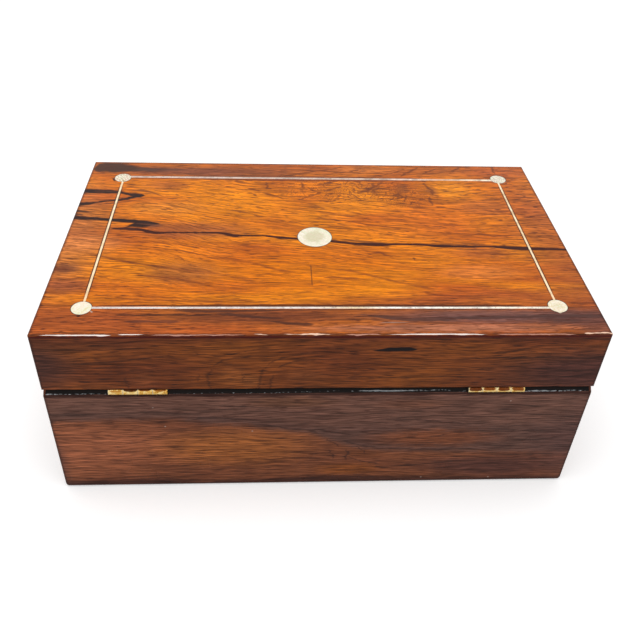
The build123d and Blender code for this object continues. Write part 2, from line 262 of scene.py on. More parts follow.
@dataclass
class Ground:
    """A veneer's face while its finish is built: where each of its points lies."""

    recipe: Recipe
    along: Socket
    across: Socket
    through: Socket
    seed: float
    bent: Socket | None = None  # across the bent grain
    shake: Socket | None = None  # a ragged noise about 0
    span: float = LENGTH  # what a curve's places and values are divided by

    def layer(self, run: float, rise: float, offset: float = 0.0, **named: float) -> Socket:
        """Lays a noise drawn out along the bent grain.

        Args:
            run: How long its marks are, in millimetres.
            rise: How wide they are.
            offset: Moves the pattern, so that no two are alike.
            named: Other inputs of the noise.

        Returns:
            The noise about 0.
        """
        add = self.recipe.add
        spot = add("CombineXYZ", self.along, self.bent or self.across, self.through)
        scale = (1 / run, 1 / rise, 1 / run)
        spot = add("VectorMath", spot, scale, (0.0, 0.0, self.seed + offset), operation="MULTIPLY_ADD")
        noise = add("TexNoise", spot, None, 1.0, 1.5, named=named)
        return add("Math", noise, 0.5, operation="SUBTRACT")

    def follow(self, points: tuple[Point, ...], reader: Socket | None = None) -> Socket:
        """Reads a length that changes smoothly from point to point.

        Args:
            points: Places and lengths, in order.
            reader: What the places are measured by; along the grain if it is left out.

        Returns:
            The length, in spans.
        """
        share = self.recipe.add("Math", reader or self.along, 1 / self.span, operation="MULTIPLY")
        bends = tuple((x / self.span, y / self.span) for x, y in points)
        return self.recipe.add("FloatCurve", None, share, bends=bends)

    def ragged(self, reach: float, reader: Socket | None = None) -> Socket:
        """Moves a reading, or the place across if it is left out, about by up to the reach."""
        return self.recipe.add("Math", self.shake, 2 * reach, reader or self.across, operation="MULTIPLY_ADD")

    def off_line(self, points: tuple[Point, ...], rag: float) -> Socket:
        """Measures how far a place lies above a line along the grain.

        Args:
            points: Places along and across the grain.
            rag: How far the line wanders.

        Returns:
            The distance, in spans.
        """
        spot = self.recipe.add("Math", self.ragged(rag), 1 / self.span, operation="MULTIPLY")
        return self.recipe.add("Math", spot, self.follow(points), operation="SUBTRACT")

    def beside(self, reader: Socket, line: float) -> Socket:
        """Measures how far a place is from a straight line, on either side."""
        off = self.recipe.add("Math", reader, line, operation="SUBTRACT")
        return self.recipe.add("Math", off, operation="ABSOLUTE")

    def fade(self, reader: Socket, full: Value, gone: Value, strength: float = 1.0) -> Socket:
        """Turns a distance into a share that falls smoothly to nothing.

        Args:
            reader: The distance.
            full: Where the share is still full.
            gone: Where it has gone.
            strength: The full share.

        Returns:
            The share.
        """
        smooth = {"interpolation_type": "SMOOTHSTEP"}
        return self.recipe.add("MapRange", reader, full, gone, strength, 0.0, **smooth)

    def oval(self, centre: Point, reach: Point, wander: float) -> Socket:
        """Measures how far out of an oval a place is: 0 at its centre and 1 on its edge.

        Args:
            centre: The oval's middle.
            reach: Its half length along and across.
            wander: How far its edge wanders.

        Returns:
            The distance, in shares of the oval.
        """
        add = self.recipe.add
        spot = add("CombineXYZ", self.along, self.ragged(wander))
        scale = (1 / reach[0], 1 / reach[1], 0.0)
        offset = (-centre[0] / reach[0], -centre[1] / reach[1], 0.0)
        spot = add("VectorMath", spot, scale, offset, operation="MULTIPLY_ADD")
        return add("VectorMath", spot, out="Value", operation="LENGTH")

    def paint_over(self, colour: Socket, mask: Socket, tone: str) -> Socket:
        """Mixes a tone into the colour by a mask."""
        return self.recipe.add("Mix", mask, named={6: colour, 7: paint(tone)}, **TINTED)


@dataclass(frozen=True)
class Streak:
    """A line in the figure, in millimetres along and across the grain."""

    path: tuple[Triple, ...]  # along, across, half width
    tone: str
    strength: float = 1.0
    rag: float = 0.6  # how far it wanders
    soft: float = 0.6  # how much of its half width is a soft edge
    steep: bool = False  # it runs across the grain more than along it

    def mask(self, ground: Ground) -> Socket:
        """Says how strong the streak is at each place.

        Args:
            ground: The face in hand.

        Returns:
            The share of its tone.
        """
        add = ground.recipe.add
        reader, target = (ground.across, ground.along) if self.steep else (ground.along, ground.across)
        points = sorted((y, x, half) if self.steep else (x, y, half) for x, y, half in self.path)
        line = ground.follow(tuple((run, rise) for run, rise, _ in points), reader)
        halves = [(run, half) for run, _, half in points]
        # A curve is kept as one number to the millimetre. An end that thins to nothing is carried past its
        # place, so that it stays nothing beyond it.
        if halves[0][1] == 0 and halves[0][0] > 0:
            halves.insert(0, (max(halves[0][0] - CARRIED, 0), 0))
        if halves[-1][1] == 0 and halves[-1][0] < ground.span:
            halves.append((min(halves[-1][0] + CARRIED, ground.span), 0))
        half = ground.follow(tuple(halves), reader)
        off = add("Math", ground.ragged(self.rag, target), 1 / ground.span, operation="MULTIPLY")
        off = add("Math", off, line, operation="SUBTRACT")
        depth = add("Math", half, add("Math", off, operation="ABSOLUTE"), operation="SUBTRACT")
        edge = self.soft * max(half for _, _, half in points) / ground.span
        return ground.fade(depth, edge, 0.0, self.strength)


@dataclass(frozen=True)
class Tide:
    """A long soft border in the figure, dark on one side."""

    path: tuple[Point, ...]
    tone: str
    softness: float
    strength: float
    above: bool = True  # dark above the line, or below it

    def mask(self, ground: Ground) -> Socket:
        """Says how dark the tide is at each place.

        Args:
            ground: The face in hand.

        Returns:
            The share of its tone.
        """
        off = ground.off_line(self.path, 0.8 * self.softness)
        full = (self.softness if self.above else -self.softness) / ground.span
        return ground.fade(off, full, -full, self.strength)


@dataclass(frozen=True)
class Pool:
    """A soft oval patch of another tone."""

    centre: Point
    reach: Point
    tone: str
    strength: float
    wander: float = 2.5

    def mask(self, ground: Ground) -> Socket:
        """Says how strong the patch is at each place."""
        away = ground.oval(self.centre, self.reach, self.wander)
        return ground.fade(away, 0.25, 1.0, self.strength)


@dataclass(frozen=True)
class Curl:
    """A patch of curly figure: thin wandering lines where a branch grew near."""

    centre: Point
    reach: Point
    spacing: float  # a rough size of its whorls
    tone: str
    strength: float
    lines: float = 9.0  # how many lines a whorl has

    def mask(self, ground: Ground) -> Socket:
        """Says how dark the thin lines are at each place.

        Args:
            ground: The face in hand.

        Returns:
            The share of its tone.
        """
        add = ground.recipe.add
        spot = add("CombineXYZ", ground.along, ground.across, ground.seed)
        spot = add("VectorMath", spot, (0.8 / self.spacing, 1 / self.spacing, 1.0), operation="MULTIPLY")
        hills = add("TexNoise", spot, None, 0.8, 2.0, 0.5, named={"Distortion": 1.2})
        rings = add("Math", hills, self.lines, operation="MULTIPLY")
        rings = add("Math", rings, operation="FRACT")
        lines = ground.fade(ground.beside(rings, 0.5), 0.05, 0.24)
        patch = ground.fade(ground.oval(self.centre, self.reach, 2.0), 0.3, 1.0, self.strength)
        return add("Math", lines, patch, operation="MULTIPLY")


@dataclass(frozen=True)
class Scratch:
    """A straight mark across the grain."""

    along: float
    across: Point  # from where to where
    half: float
    tone: str
    strength: float

    def mask(self, ground: Ground) -> Socket:
        """Says how strong the mark is at each place.

        Args:
            ground: The face in hand.

        Returns:
            The share of its tone.
        """
        low, high = self.across
        thin = ground.fade(ground.beside(ground.along, self.along), self.half * 0.4, self.half, self.strength)
        off = ground.beside(ground.across, (low + high) / 2)
        short = ground.fade(off, (high - low) * 0.4, (high - low) / 2)
        return ground.recipe.add("Math", thin, short, operation="MULTIPLY")


@dataclass(frozen=True)
class Brink:
    """The thin edge of a veneer, below a height."""

    height: float
    tone: str = "#551511"
    strength: float = 0.9
    fading: Point = (-0.1, 0.15)  # where it fades, from its height

    def mask(self, ground: Ground) -> Socket:
        """Says how strong the tone is at each place.

        Args:
            ground: The face in hand.

        Returns:
            The share of its tone.
        """
        level = ground.ragged(0.12, ground.through)
        full, gone = (self.height + step for step in self.fading)
        return ground.fade(level, full, gone, self.strength)


@dataclass(frozen=True)
class Rim:
    """A dark line of glue and dirt round a disc: its middle and its radius."""

    centre: Point
    radius: float
    width: float = 0.45
    tone: str = "#2A140E"
    strength: float = 0.92

    def mask(self, ground: Ground) -> Socket:
        """Says how dark the dirt is at each place."""
        away = ground.oval(self.centre, (1.0, 1.0), 0.25)
        return ground.fade(away, self.radius + 0.2 * self.width, self.radius + self.width, self.strength)


Mark = Streak | Tide | Pool | Curl | Scratch | Brink | Rim


@dataclass(frozen=True)
class FrenchPolishedRosewood(Finish):
    """Sawn rosewood veneer under old French polish: open pores, streaks, rubbed arrises partly painted as
    highlights.
    """

    grain: Grain
    light: str
    warm: str
    dark: str
    bands: tuple[Triple, ...]  # the light and dark lines of growth: length, width, contrast
    dashes: tuple[Triple, ...]  # the open pores: length, width, depth of tone
    seed: float = 0.0
    flow: tuple[Point, ...] = ((0, 0), (LENGTH, 0))  # how far the grain rises along the face
    flow_share: tuple[Point, ...] = ((0, 1), (153, 1))  # how much of that it does across it
    waves: tuple[Triple, ...] = ((60, 26, 6), (22, 9, 1.6), (8, 3, 0.45))  # length, width, reach
    cloud: Point = (55.0, 22.0)  # length and width of a warm patch
    jag: Point = (5.5, 1.1)  # length and width of the fibres that make an edge ragged
    relief: float = 0.05  # depth of the open grain
    patches: tuple[Mark, ...] = ()  # under the bands
    marks: tuple[Mark, ...] = ()  # over them
    rubs: tuple[Mark, ...] = ()  # over the worn edges: chips, joints and painted highlights
    half_size: Triple = (HALF_LENGTH, HALF_DEPTH, HEIGHT)  # from the middle of the underside
    arris_wear_and_highlight_tone: str = "#C79A88"
    arris_wear_and_highlight_strength: float = 0.38
    arris: Point = (1.1, 1.5)  # the pale edge, worn polish and painted highlight, fades between these distances from the arris
    dirt_tone: str = "#2A120D"
    dirt_strength: float = 0.6
    dirt: Point = (1.5, 2.9)  # and the dark line beside it between these
    wander: float = 2.2  # how far both wander
    roughness: float = 0.3

    def surface(self, recipe: Recipe, place: Socket) -> dict[str, Value]:
        """Works out what goes into the shader.

        Args:
            recipe: The material in hand.
            place: Each point's place, in millimetres.

        Returns:
            The shader's inputs by name.
        """
        add = recipe.add
        split = [add("SeparateXYZ", place, out=axis) for axis in range(3)]
        half_x, half_y, _ = self.half_size
        measured = (
            add("Math", half_x, split[0], operation="SUBTRACT"),
            add("Math", half_y, split[1], operation="ADD"),
            split[2],
        )
        ground = Ground(recipe, *(measured[axis] for axis in self.grain.value), self.seed)
        self.bend(ground)
        # A layer's third number only moves its pattern.
        clouds = add("MapRange", ground.layer(*self.cloud, 17.0), -0.18, 0.18)
        gain: Socket | float = 1.0
        for number, (run, rise, share) in enumerate(self.bands):
            fine = ground.layer(run, rise, 7.3 * number)
            gain = add("Math", fine, share, gain, operation="MULTIPLY_ADD")
        gain = add("Math", gain, 0.3, operation="MAXIMUM")
        pores: Socket | float = 0.0
        for number, (run, rise, depth) in enumerate(self.dashes):
            dash = ground.layer(run, rise, 31.0 + 5.1 * number, Roughness=0.4)
            dash = add("MapRange", dash, 0.06, 0.17, 0.0, depth)
            pores = add("Math", dash, pores, operation="MAXIMUM")
        # Every mark reads places that the shake has moved a little. The renderer then works the marks out
        # one by one, which keeps its memory for the whole finish small.
        ground.shake = ground.layer(*self.jag, 3.7, Roughness=0.6)
        ground.along = add("Math", ground.shake, 0.5, ground.along, operation="MULTIPLY_ADD")
        ground.across = add("Math", ground.shake, 0.2, ground.across, operation="MULTIPLY_ADD")
        colour = add("Mix", clouds, named={6: paint(self.light), 7: paint(self.warm)}, **TINTED)
        for patch in self.patches:
            colour = ground.paint_over(colour, patch.mask(ground), patch.tone)
        gain = add("CombineColor", gain, gain, gain)
        colour = add("Mix", 1.0, named={6: colour, 7: gain}, blend_type="MULTIPLY", **TINTED)
        for mark in self.marks:
            colour = ground.paint_over(colour, mark.mask(ground), mark.tone)
        colour = ground.paint_over(colour, pores, self.dark)
        colour = self.paint_arris_wear_and_highlight(ground, split, colour)
        # Chips, joints and painted highlights along the edges.
        for rub in self.rubs:
            colour = ground.paint_over(colour, rub.mask(ground), rub.tone)
        height = add("Math", fine, pores, operation="SUBTRACT")
        bump = add("Bump", 0.25, named={"Distance": self.relief * MM, "Height": height})
        haze = add("TexNoise", place, None, 0.03, 3.0)
        rough = add("MapRange", haze, 0.3, 0.7, self.roughness - 0.06, self.roughness + 0.08)
        return {"Base Color": colour, "Roughness": rough, "Normal": bump, "Specular IOR Level": 0.1}

    def bend(self, ground: Ground) -> None:
        """Bends the grain: its long flow first, then slow waves and small wriggles.

        Args:
            ground: The face in hand.
        """
        add = ground.recipe.add
        rise = ground.follow(self.flow)
        share = ground.follow(self.flow_share, ground.across)
        fall = add("Math", rise, share, operation="MULTIPLY")
        fall = add("Math", fall, -(ground.span**2), operation="MULTIPLY")
        ground.bent = add("Math", ground.across, fall, operation="ADD")
        for run, width, reach in self.waves:
            wave = ground.layer(run, width, reach)
            ground.bent = add("Math", wave, reach, ground.bent, operation="MULTIPLY_ADD")

    def paint_arris_wear_and_highlight(self, ground: Ground, split: list[Socket], colour: Socket) -> Socket:
        """Paints the arrises pale, partly worn polish and partly a painted highlight on their rounding, and
        leaves a dark line of polish beside them.

        Args:
            ground: The face in hand.
            split: Millimetres along X, Y and Z.
            colour: The wood so far.

        Returns:
            The wood with its worn and highlighted edges.
        """
        add = ground.recipe.add
        halves = zip(self.half_size, split)
        offs = [add("Math", half, ground.beside(axis, 0.0), operation="SUBTRACT") for half, axis in halves]
        low = add("Math", offs[0], offs[1], operation="MINIMUM")
        high = add("Math", offs[0], offs[1], operation="MAXIMUM")
        high = add("Math", high, offs[2], operation="MINIMUM")
        edge = add("Math", low, high, operation="MAXIMUM")
        shake = add("TexNoise", add("CombineXYZ", *split), None, 0.3, 3.0)
        edge = add("Math", shake, self.wander, edge, operation="MULTIPLY_ADD")
        colour = ground.paint_over(colour, ground.fade(edge, *self.dirt, self.dirt_strength), self.dirt_tone)
        # The pale arris is partly worn polish and partly a painted highlight.
        return ground.paint_over(colour, ground.fade(edge, *self.arris, self.arris_wear_and_highlight_strength), self.arris_wear_and_highlight_tone)


# ---- Ebonised wood ----


@dataclass(frozen=True)
class EbonisedMahogany(Finish):
    """Mahogany stained black and polished."""

    name: str = "ebonised_mahogany"
    black: str = "#080605"
    brown: str = "#1E110D"

    def surface(self, recipe: Recipe, place: Socket) -> dict[str, Value]:
        """Works out what goes into the shader.

        Args:
            recipe: The material in hand.
            place: Each point's place, in millimetres.

        Returns:
            The shader's inputs by name.
        """
        long_grain = recipe.add("VectorMath", place, (0.07, 0.8, 0.8), operation="MULTIPLY")
        stain = recipe.add("TexNoise", long_grain, None, 1.0, 3.0)
        colour = recipe.add("ValToRGB", stain, stops=((0.35, self.black), (0.75, self.brown)))
        colour = self.with_painted_gloss(recipe, place, colour)
        bump = recipe.add("Bump", 0.3, named={"Distance": 0.08 * MM, "Height": stain})
        return {"Base Color": colour, "Roughness": 0.34, "Normal": bump, "Specular IOR Level": 0.12}

    def with_painted_gloss(self, recipe: Recipe, place: Socket, colour: Socket) -> Socket:
        """Hands back the stain as it is; the hinge side's board paints a highlight over it."""
        return colour


@dataclass(frozen=True)
class BevelWithPaintedGloss(EbonisedMahogany):
    """The same stain on the hinge side's board, with a painted highlight along its bevel: a broken pale line
    standing in for the sky's reflection in the polish.
    """

    name: str = "ebonised_bevel"
    # The pale tone is a painted highlight: the glossy bevel's reflection of the sky.
    painted_gloss_tone: str = "#C2C6CA"
    painted_gloss_strength: float = 0.85  # how strongly the painted highlight shows
    # Places are from the left end, as someone at the hinge side sees it.
    line: tuple[Point, ...] = (
        (0, 65.1), (30, 65.0), (90, 65.0), (130, 65.4), (182, 65.5), (200, 64.9), (254, 65.1),
    )
    line_half: float = 0.26
    line_wander: float = 0.4
    fleck: Point = (1.6, 0.5)  # length and width of a bright fleck
    shares: tuple[Point, ...] = (  # how much of the line of painted highlight shows
        (0, 0.6), (10, 0.42), (26, 0.4), (40, 0.25), (60, 0.32), (100, 0.32), (138, 0.3), (148, 0.6),
        (158, 0.75), (170, 0.55), (182, 0.4), (196, 0.34), (212, 0.25), (224, 0.6), (240, 0.5), (254, 0.35),
    )

    def with_painted_gloss(self, recipe: Recipe, place: Socket, colour: Socket) -> Socket:
        """Lays the broken line of painted highlight over the stain.

        Args:
            recipe: The material in hand.
            place: The place, in millimetres.
            colour: The stain.

        Returns:
            The stain with the painted highlight on it.
        """
        add = recipe.add
        split = [add("SeparateXYZ", place, out=axis) for axis in range(3)]
        along = add("Math", HALF_LENGTH, split[0], operation="SUBTRACT")
        ground = Ground(recipe, along, split[2], split[1], 2.0)
        share = add("Math", ground.follow(self.shares), ground.span, operation="MULTIPLY")
        ground.shake = ground.layer(7.0, 0.9)
        off = add("Math", ground.off_line(self.line, self.line_wander), operation="ABSOLUTE")
        half = self.line_half / ground.span
        line = ground.fade(off, 0.3 * half, half)
        flecks = add("Math", ground.layer(*self.fleck, 4.0), share, operation="ADD")
        mask = add("Math", line, ground.fade(flecks, 0.62, 0.36), operation="MULTIPLY")
        return ground.paint_over(colour, add("Math", mask, self.painted_gloss_strength, operation="MULTIPLY"), self.painted_gloss_tone)


# ---- Metals ----


@dataclass(frozen=True)
class WornBrass(Finish):
    """Rolled and drawn brass, lacquer gone, brown in the hollows and bright where it is rubbed."""

    bright: str
    warm: str
    tarnish: str
    tarnished: float
    roughness: float
    grit: float  # the size of a tarnished patch
    marks: tuple[Mark, ...] = ()  # painted shade and highlights, as someone at the hinge side sees them

    def surface(self, recipe: Recipe, place: Socket) -> dict[str, Value]:
        """Works out what goes into the shader.

        Args:
            recipe: The material in hand.
            place: Each point's place, in millimetres.

        Returns:
            The shader's inputs by name.
        """
        patches = recipe.add("TexNoise", place, None, 1 / self.grit, 4.0, 0.62)
        stops = ((0.30, self.tarnish), (0.66, self.bright), (0.30 + 0.3 * self.tarnished, self.warm))
        colour = recipe.add("ValToRGB", patches, stops=stops)
        split = [recipe.add("SeparateXYZ", place, out=axis) for axis in range(3)]
        along = recipe.add("Math", HALF_LENGTH, split[0], operation="SUBTRACT")
        ground = Ground(recipe, along, split[2], split[1], 4.0)
        ground.shake = ground.layer(1.6, 0.8)
        # On the hinges these marks are painted shade and painted highlights.
        for mark in self.marks:
            colour = ground.paint_over(colour, mark.mask(ground), mark.tone)
        drawn = recipe.add("VectorMath", place, (0.25, 7.0, 7.0), operation="MULTIPLY")
        lines = recipe.add("TexNoise", drawn, None, 1.0, 2.0)
        rough = recipe.add("MapRange", patches, 0.3, 0.7, self.roughness + 0.2, self.roughness - 0.05)
        bump = recipe.add("Bump", 0.35, named={"Distance": 0.04 * MM, "Height": lines})
        return {"Base Color": colour, "Metallic": 1.0, "Roughness": rough, "Normal": bump}


@dataclass(frozen=True)
class WhiteMetalString(Finish):
    """Thin white-metal stringing, drawn flat and scraped level, dulled under polish."""

    tones: tuple[tuple[float, str], ...]  # places over the box's length, and tones there
    axis: int = 0  # 0 where it runs along the box, 1 where it runs from back to front
    dull: str = "#8C7A6C"
    speck: str = "#4B3A33"
    specked: float = 0.5
    metal: float = 0.6

    def surface(self, recipe: Recipe, place: Socket) -> dict[str, Value]:
        """Works out what goes into the shader.

        Args:
            recipe: The material in hand.
            place: Each point's place, in millimetres.

        Returns:
            The shader's inputs by name.
        """
        along = recipe.add("SeparateXYZ", place, out=self.axis)
        # The places on the two short strings are counted over the same length, about the same middle.
        along = recipe.add("MapRange", along, HALF_LENGTH, -HALF_LENGTH)
        colour = recipe.add("ValToRGB", along, stops=tuple((at / LENGTH, tone) for at, tone in self.tones))
        wash = recipe.add("TexNoise", place, None, 0.25, 3.0)
        share = recipe.add("MapRange", wash, 0.42, 0.7, 0.0, 0.7)
        colour = recipe.add("Mix", share, named={6: colour, 7: paint(self.dull)}, **TINTED)
        grit = recipe.add("TexNoise", place, None, 1.1, 2.0)
        specks = recipe.add("MapRange", grit, 0.58, 0.70, 0.0, self.specked)
        colour = recipe.add("Mix", specks, named={6: colour, 7: paint(self.speck)}, **TINTED)
        bump = recipe.add("Bump", 0.3, named={"Distance": 0.03 * MM, "Height": grit})
        return {"Base Color": colour, "Metallic": self.metal, "Roughness": 0.42, "Normal": bump}


@dataclass(frozen=True)
class CutSteel(Finish):
    """Filed steel, greyed and spotted with light rust."""

    name: str = "filed_steel"
    bright: str = "#A7A6A3"
    dark: str = "#5C5854"
    rust: str = "#5E3A24"

    def surface(self, recipe: Recipe, place: Socket) -> dict[str, Value]:
        """Works out what goes into the shader.

        Args:
            recipe: The material in hand.
            place: Each point's place, in millimetres.

        Returns:
            The shader's inputs by name.
        """
        cloudy = recipe.add("TexNoise", place, None, 0.5, 3.0)
        colour = recipe.add("ValToRGB", cloudy, stops=((0.35, self.dark), (0.65, self.bright)))
        spots = recipe.add("TexNoise", place, None, 1.4, 3.0)
        spotted = recipe.add("MapRange", spots, 0.6, 0.7, 0.0, 0.7)
        colour = recipe.add("Mix", spotted, named={6: colour, 7: paint(self.rust)}, **TINTED)
        filed = recipe.add("VectorMath", place, (0.4, 6.0, 6.0), operation="MULTIPLY")
        marks = recipe.add("TexNoise", filed, None, 1.0, 1.0)
        bump = recipe.add("Bump", 0.4, named={"Distance": 0.03 * MM, "Height": marks})
        return {"Base Color": colour, "Metallic": 0.9, "Roughness": 0.38, "Normal": bump}


# ---- Shell ----


@dataclass(frozen=True)
class MotherOfPearl(Finish):
    """Sawn shell, polished: pale growth bands with faint green and pink."""

    centre: Point
    radius: float
    pale: str
    shade: str
    turn: float  # how its growth bands lie
    heart_share: float  # how dull its middle is
    heart: str = "#C8BC94"
    green: str = "#EDF0D6"
    pink: str = "#F8E8D6"
    rim: str = "#4A3A2C"

    def surface(self, recipe: Recipe, place: Socket) -> dict[str, Value]:
        """Works out what goes into the shader.

        Args:
            recipe: The material in hand.
            place: Each point's place, in millimetres.

        Returns:
            The shader's inputs by name.
        """
        turned = recipe.add("VectorRotate", place, named={"Angle": self.turn}, rotation_type="Z_AXIS")
        bands = recipe.add("VectorMath", turned, (0.16, 0.75, 0.5), operation="MULTIPLY")
        growth = recipe.add("TexNoise", bands, None, 1.0, 3.0, named={"Distortion": 0.6})
        stops = ((0.30, self.shade), (0.72, self.pale), (0.44, self.green), (0.56, self.pink))
        colour = recipe.add("ValToRGB", growth, stops=stops)
        cells = recipe.add("TexNoise", turned, None, 1.1, 3.0, 0.6)
        clouds = recipe.add("MapRange", cells, 0.42, 0.66, 0.0, 0.75)
        colour = recipe.add("Mix", clouds, named={6: colour, 7: paint(self.shade)}, **TINTED)
        flat = recipe.add("VectorMath", place, (1.0, 1.0, 0.0), operation="MULTIPLY")
        away = recipe.add("VectorMath", flat, (*self.centre, 0.0), out="Value", operation="DISTANCE")
        worn = recipe.add("TexNoise", turned, None, 0.45, 3.0, 0.7)
        worn = recipe.add("Math", worn, 0.7 * self.radius, away, operation="MULTIPLY_ADD")
        heart = recipe.add("MapRange", worn, 0.75 * self.radius, 1.1 * self.radius, self.heart_share, 0.0)
        colour = recipe.add("Mix", heart, named={6: colour, 7: paint(self.heart)}, **TINTED)
        edge = recipe.add("MapRange", away, self.radius - 0.2, self.radius, 0.0, 0.6)
        colour = recipe.add("Mix", edge, named={6: colour, 7: paint(self.rim)}, **TINTED)
        bump = recipe.add("Bump", 0.2, named={"Distance": 0.03 * MM, "Height": growth})
        return {"Base Color": colour, "Roughness": 0.22, "Normal": bump, "Specular IOR Level": 0.45}


# ---- Cloth ----


@dataclass(frozen=True)
class SilkVelvet(Finish):
    """Short-pile velvet: dark where it is looked into, pale where the pile is brushed."""

    name: str = "claret_silk_velvet"
    deep: str = "#4A0F1D"
    pile: str = "#671727"
    brushed: str = "#7E2636"
    sheen: float = 0.7

    def surface(self, recipe: Recipe, place: Socket) -> dict[str, Value]:
        """Works out what goes into the shader.

        Args:
            recipe: The material in hand.
            place: Each point's place, in millimetres.

        Returns:
            The shader's inputs by name.
        """
        strokes = recipe.add("TexNoise", place, None, 0.05, 4.0, 0.55, named={"Distortion": 0.8})
        stops = ((0.30, self.deep), (0.72, self.brushed), (0.52, self.pile))
        colour = recipe.add("ValToRGB", strokes, stops=stops)
        # Real pile stands 0.1 mm apart; it is drawn at 0.5 mm so that it shows.
        pile = recipe.add("TexNoise", place, None, 2.0, 2.0)
        bump = recipe.add("Bump", 0.6, named={"Distance": 0.15 * MM, "Height": pile})
        return {
            "Base Color": colour,
            "Roughness": 0.9,
            "Normal": bump,
            "Specular IOR Level": 0.1,
            "Sheen Weight": self.sheen,
            "Sheen Roughness": 0.35,
            "Sheen Tint": paint("#D98A94"),
        }


@dataclass(frozen=True)
class WatchedSilk(Finish):
    """Plain-woven silk over wadding, with a soft lustre and fine ribs."""

    name: str = "ribbed_silk"
    deep: str = "#6E1A2C"
    bright: str = "#87293B"

    def surface(self, recipe: Recipe, place: Socket) -> dict[str, Value]:
        """Works out what goes into the shader.

        Args:
            recipe: The material in hand.
            place: Each point's place, in millimetres.

        Returns:
            The shader's inputs by name.
        """
        wash = recipe.add("TexNoise", place, None, 0.03, 3.0, named={"Distortion": 1.0})
        colour = recipe.add("ValToRGB", wash, stops=((0.35, self.deep), (0.65, self.bright)))
        # Silk rep has about 2 ribs to the millimetre; they are drawn at 1 to the millimetre.
        ribs = recipe.add("TexWave", place, 0.16, 0.4, 1.0, 2.0, wave_type="BANDS", bands_direction="X")
        bump = recipe.add("Bump", 0.35, named={"Distance": 0.1 * MM, "Height": ribs})
        return {
            "Base Color": colour,
            "Roughness": 0.42,
            "Normal": bump,
            "Specular IOR Level": 0.35,
            "Sheen Weight": 0.35,
            "Sheen Roughness": 0.3,
            "Sheen Tint": paint("#E8A6A0"),
        }


@dataclass(frozen=True)
class WoolBaize(Finish):
    """Felted green wool."""

    name: str = "green_baize"
    deep: str = "#173A28"
    light: str = "#2C5A3E"

    def surface(self, recipe: Recipe, place: Socket) -> dict[str, Value]:
        """Works out what goes into the shader.

        Args:
            recipe: The material in hand.
            place: Each point's place, in millimetres.

        Returns:
            The shader's inputs by name.
        """
        felt = recipe.add("TexNoise", place, None, 1.2, 4.0, 0.7, named={"Distortion": 1.5})
        colour = recipe.add("ValToRGB", felt, stops=((0.35, self.deep), (0.65, self.light)))
        bump = recipe.add("Bump", 0.7, named={"Distance": 0.2 * MM, "Height": felt})
        return {
            "Base Color": colour,
            "Roughness": 0.95,
            "Normal": bump,
            "Specular IOR Level": 0.05,
            "Sheen Weight": 0.4,
            "Sheen Tint": paint("#9CC2A8"),
        }


# ---- The box ----


def cad(node: str) -> bpy.types.Object:
    """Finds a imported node's object."""
    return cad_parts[node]


def box_of(node: str) -> tuple[Point, Point]:
    """Measures a piece of the inlay.

    Args:
        node: The piece's name.

    Returns:
        Its low and high corners, in millimetres from the lid's far left corner.
    """
    low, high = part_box(node)
    return (
        (HALF_LENGTH - high.x / MM, HALF_DEPTH + low.y / MM),
        (HALF_LENGTH - low.x / MM, HALF_DEPTH + high.y / MM),
    )


def disc_rim(node: str) -> Rim:
    """Works out the dirt line round a disc.

    Args:
        node: The disc's name.

    Returns:
        The line.
    """
    low, high = box_of(node)
    centre = ((low[0] + high[0]) / 2, (low[1] + high[1]) / 2)
    return Rim(centre, (high[0] - low[0]) / 2)


def moved(path: tuple[Triple, ...], along: float, across: float) -> tuple[Triple, ...]:
    """Moves a path's places along and across the grain."""
    return tuple((x + along, y + across, half) for x, y, half in path)


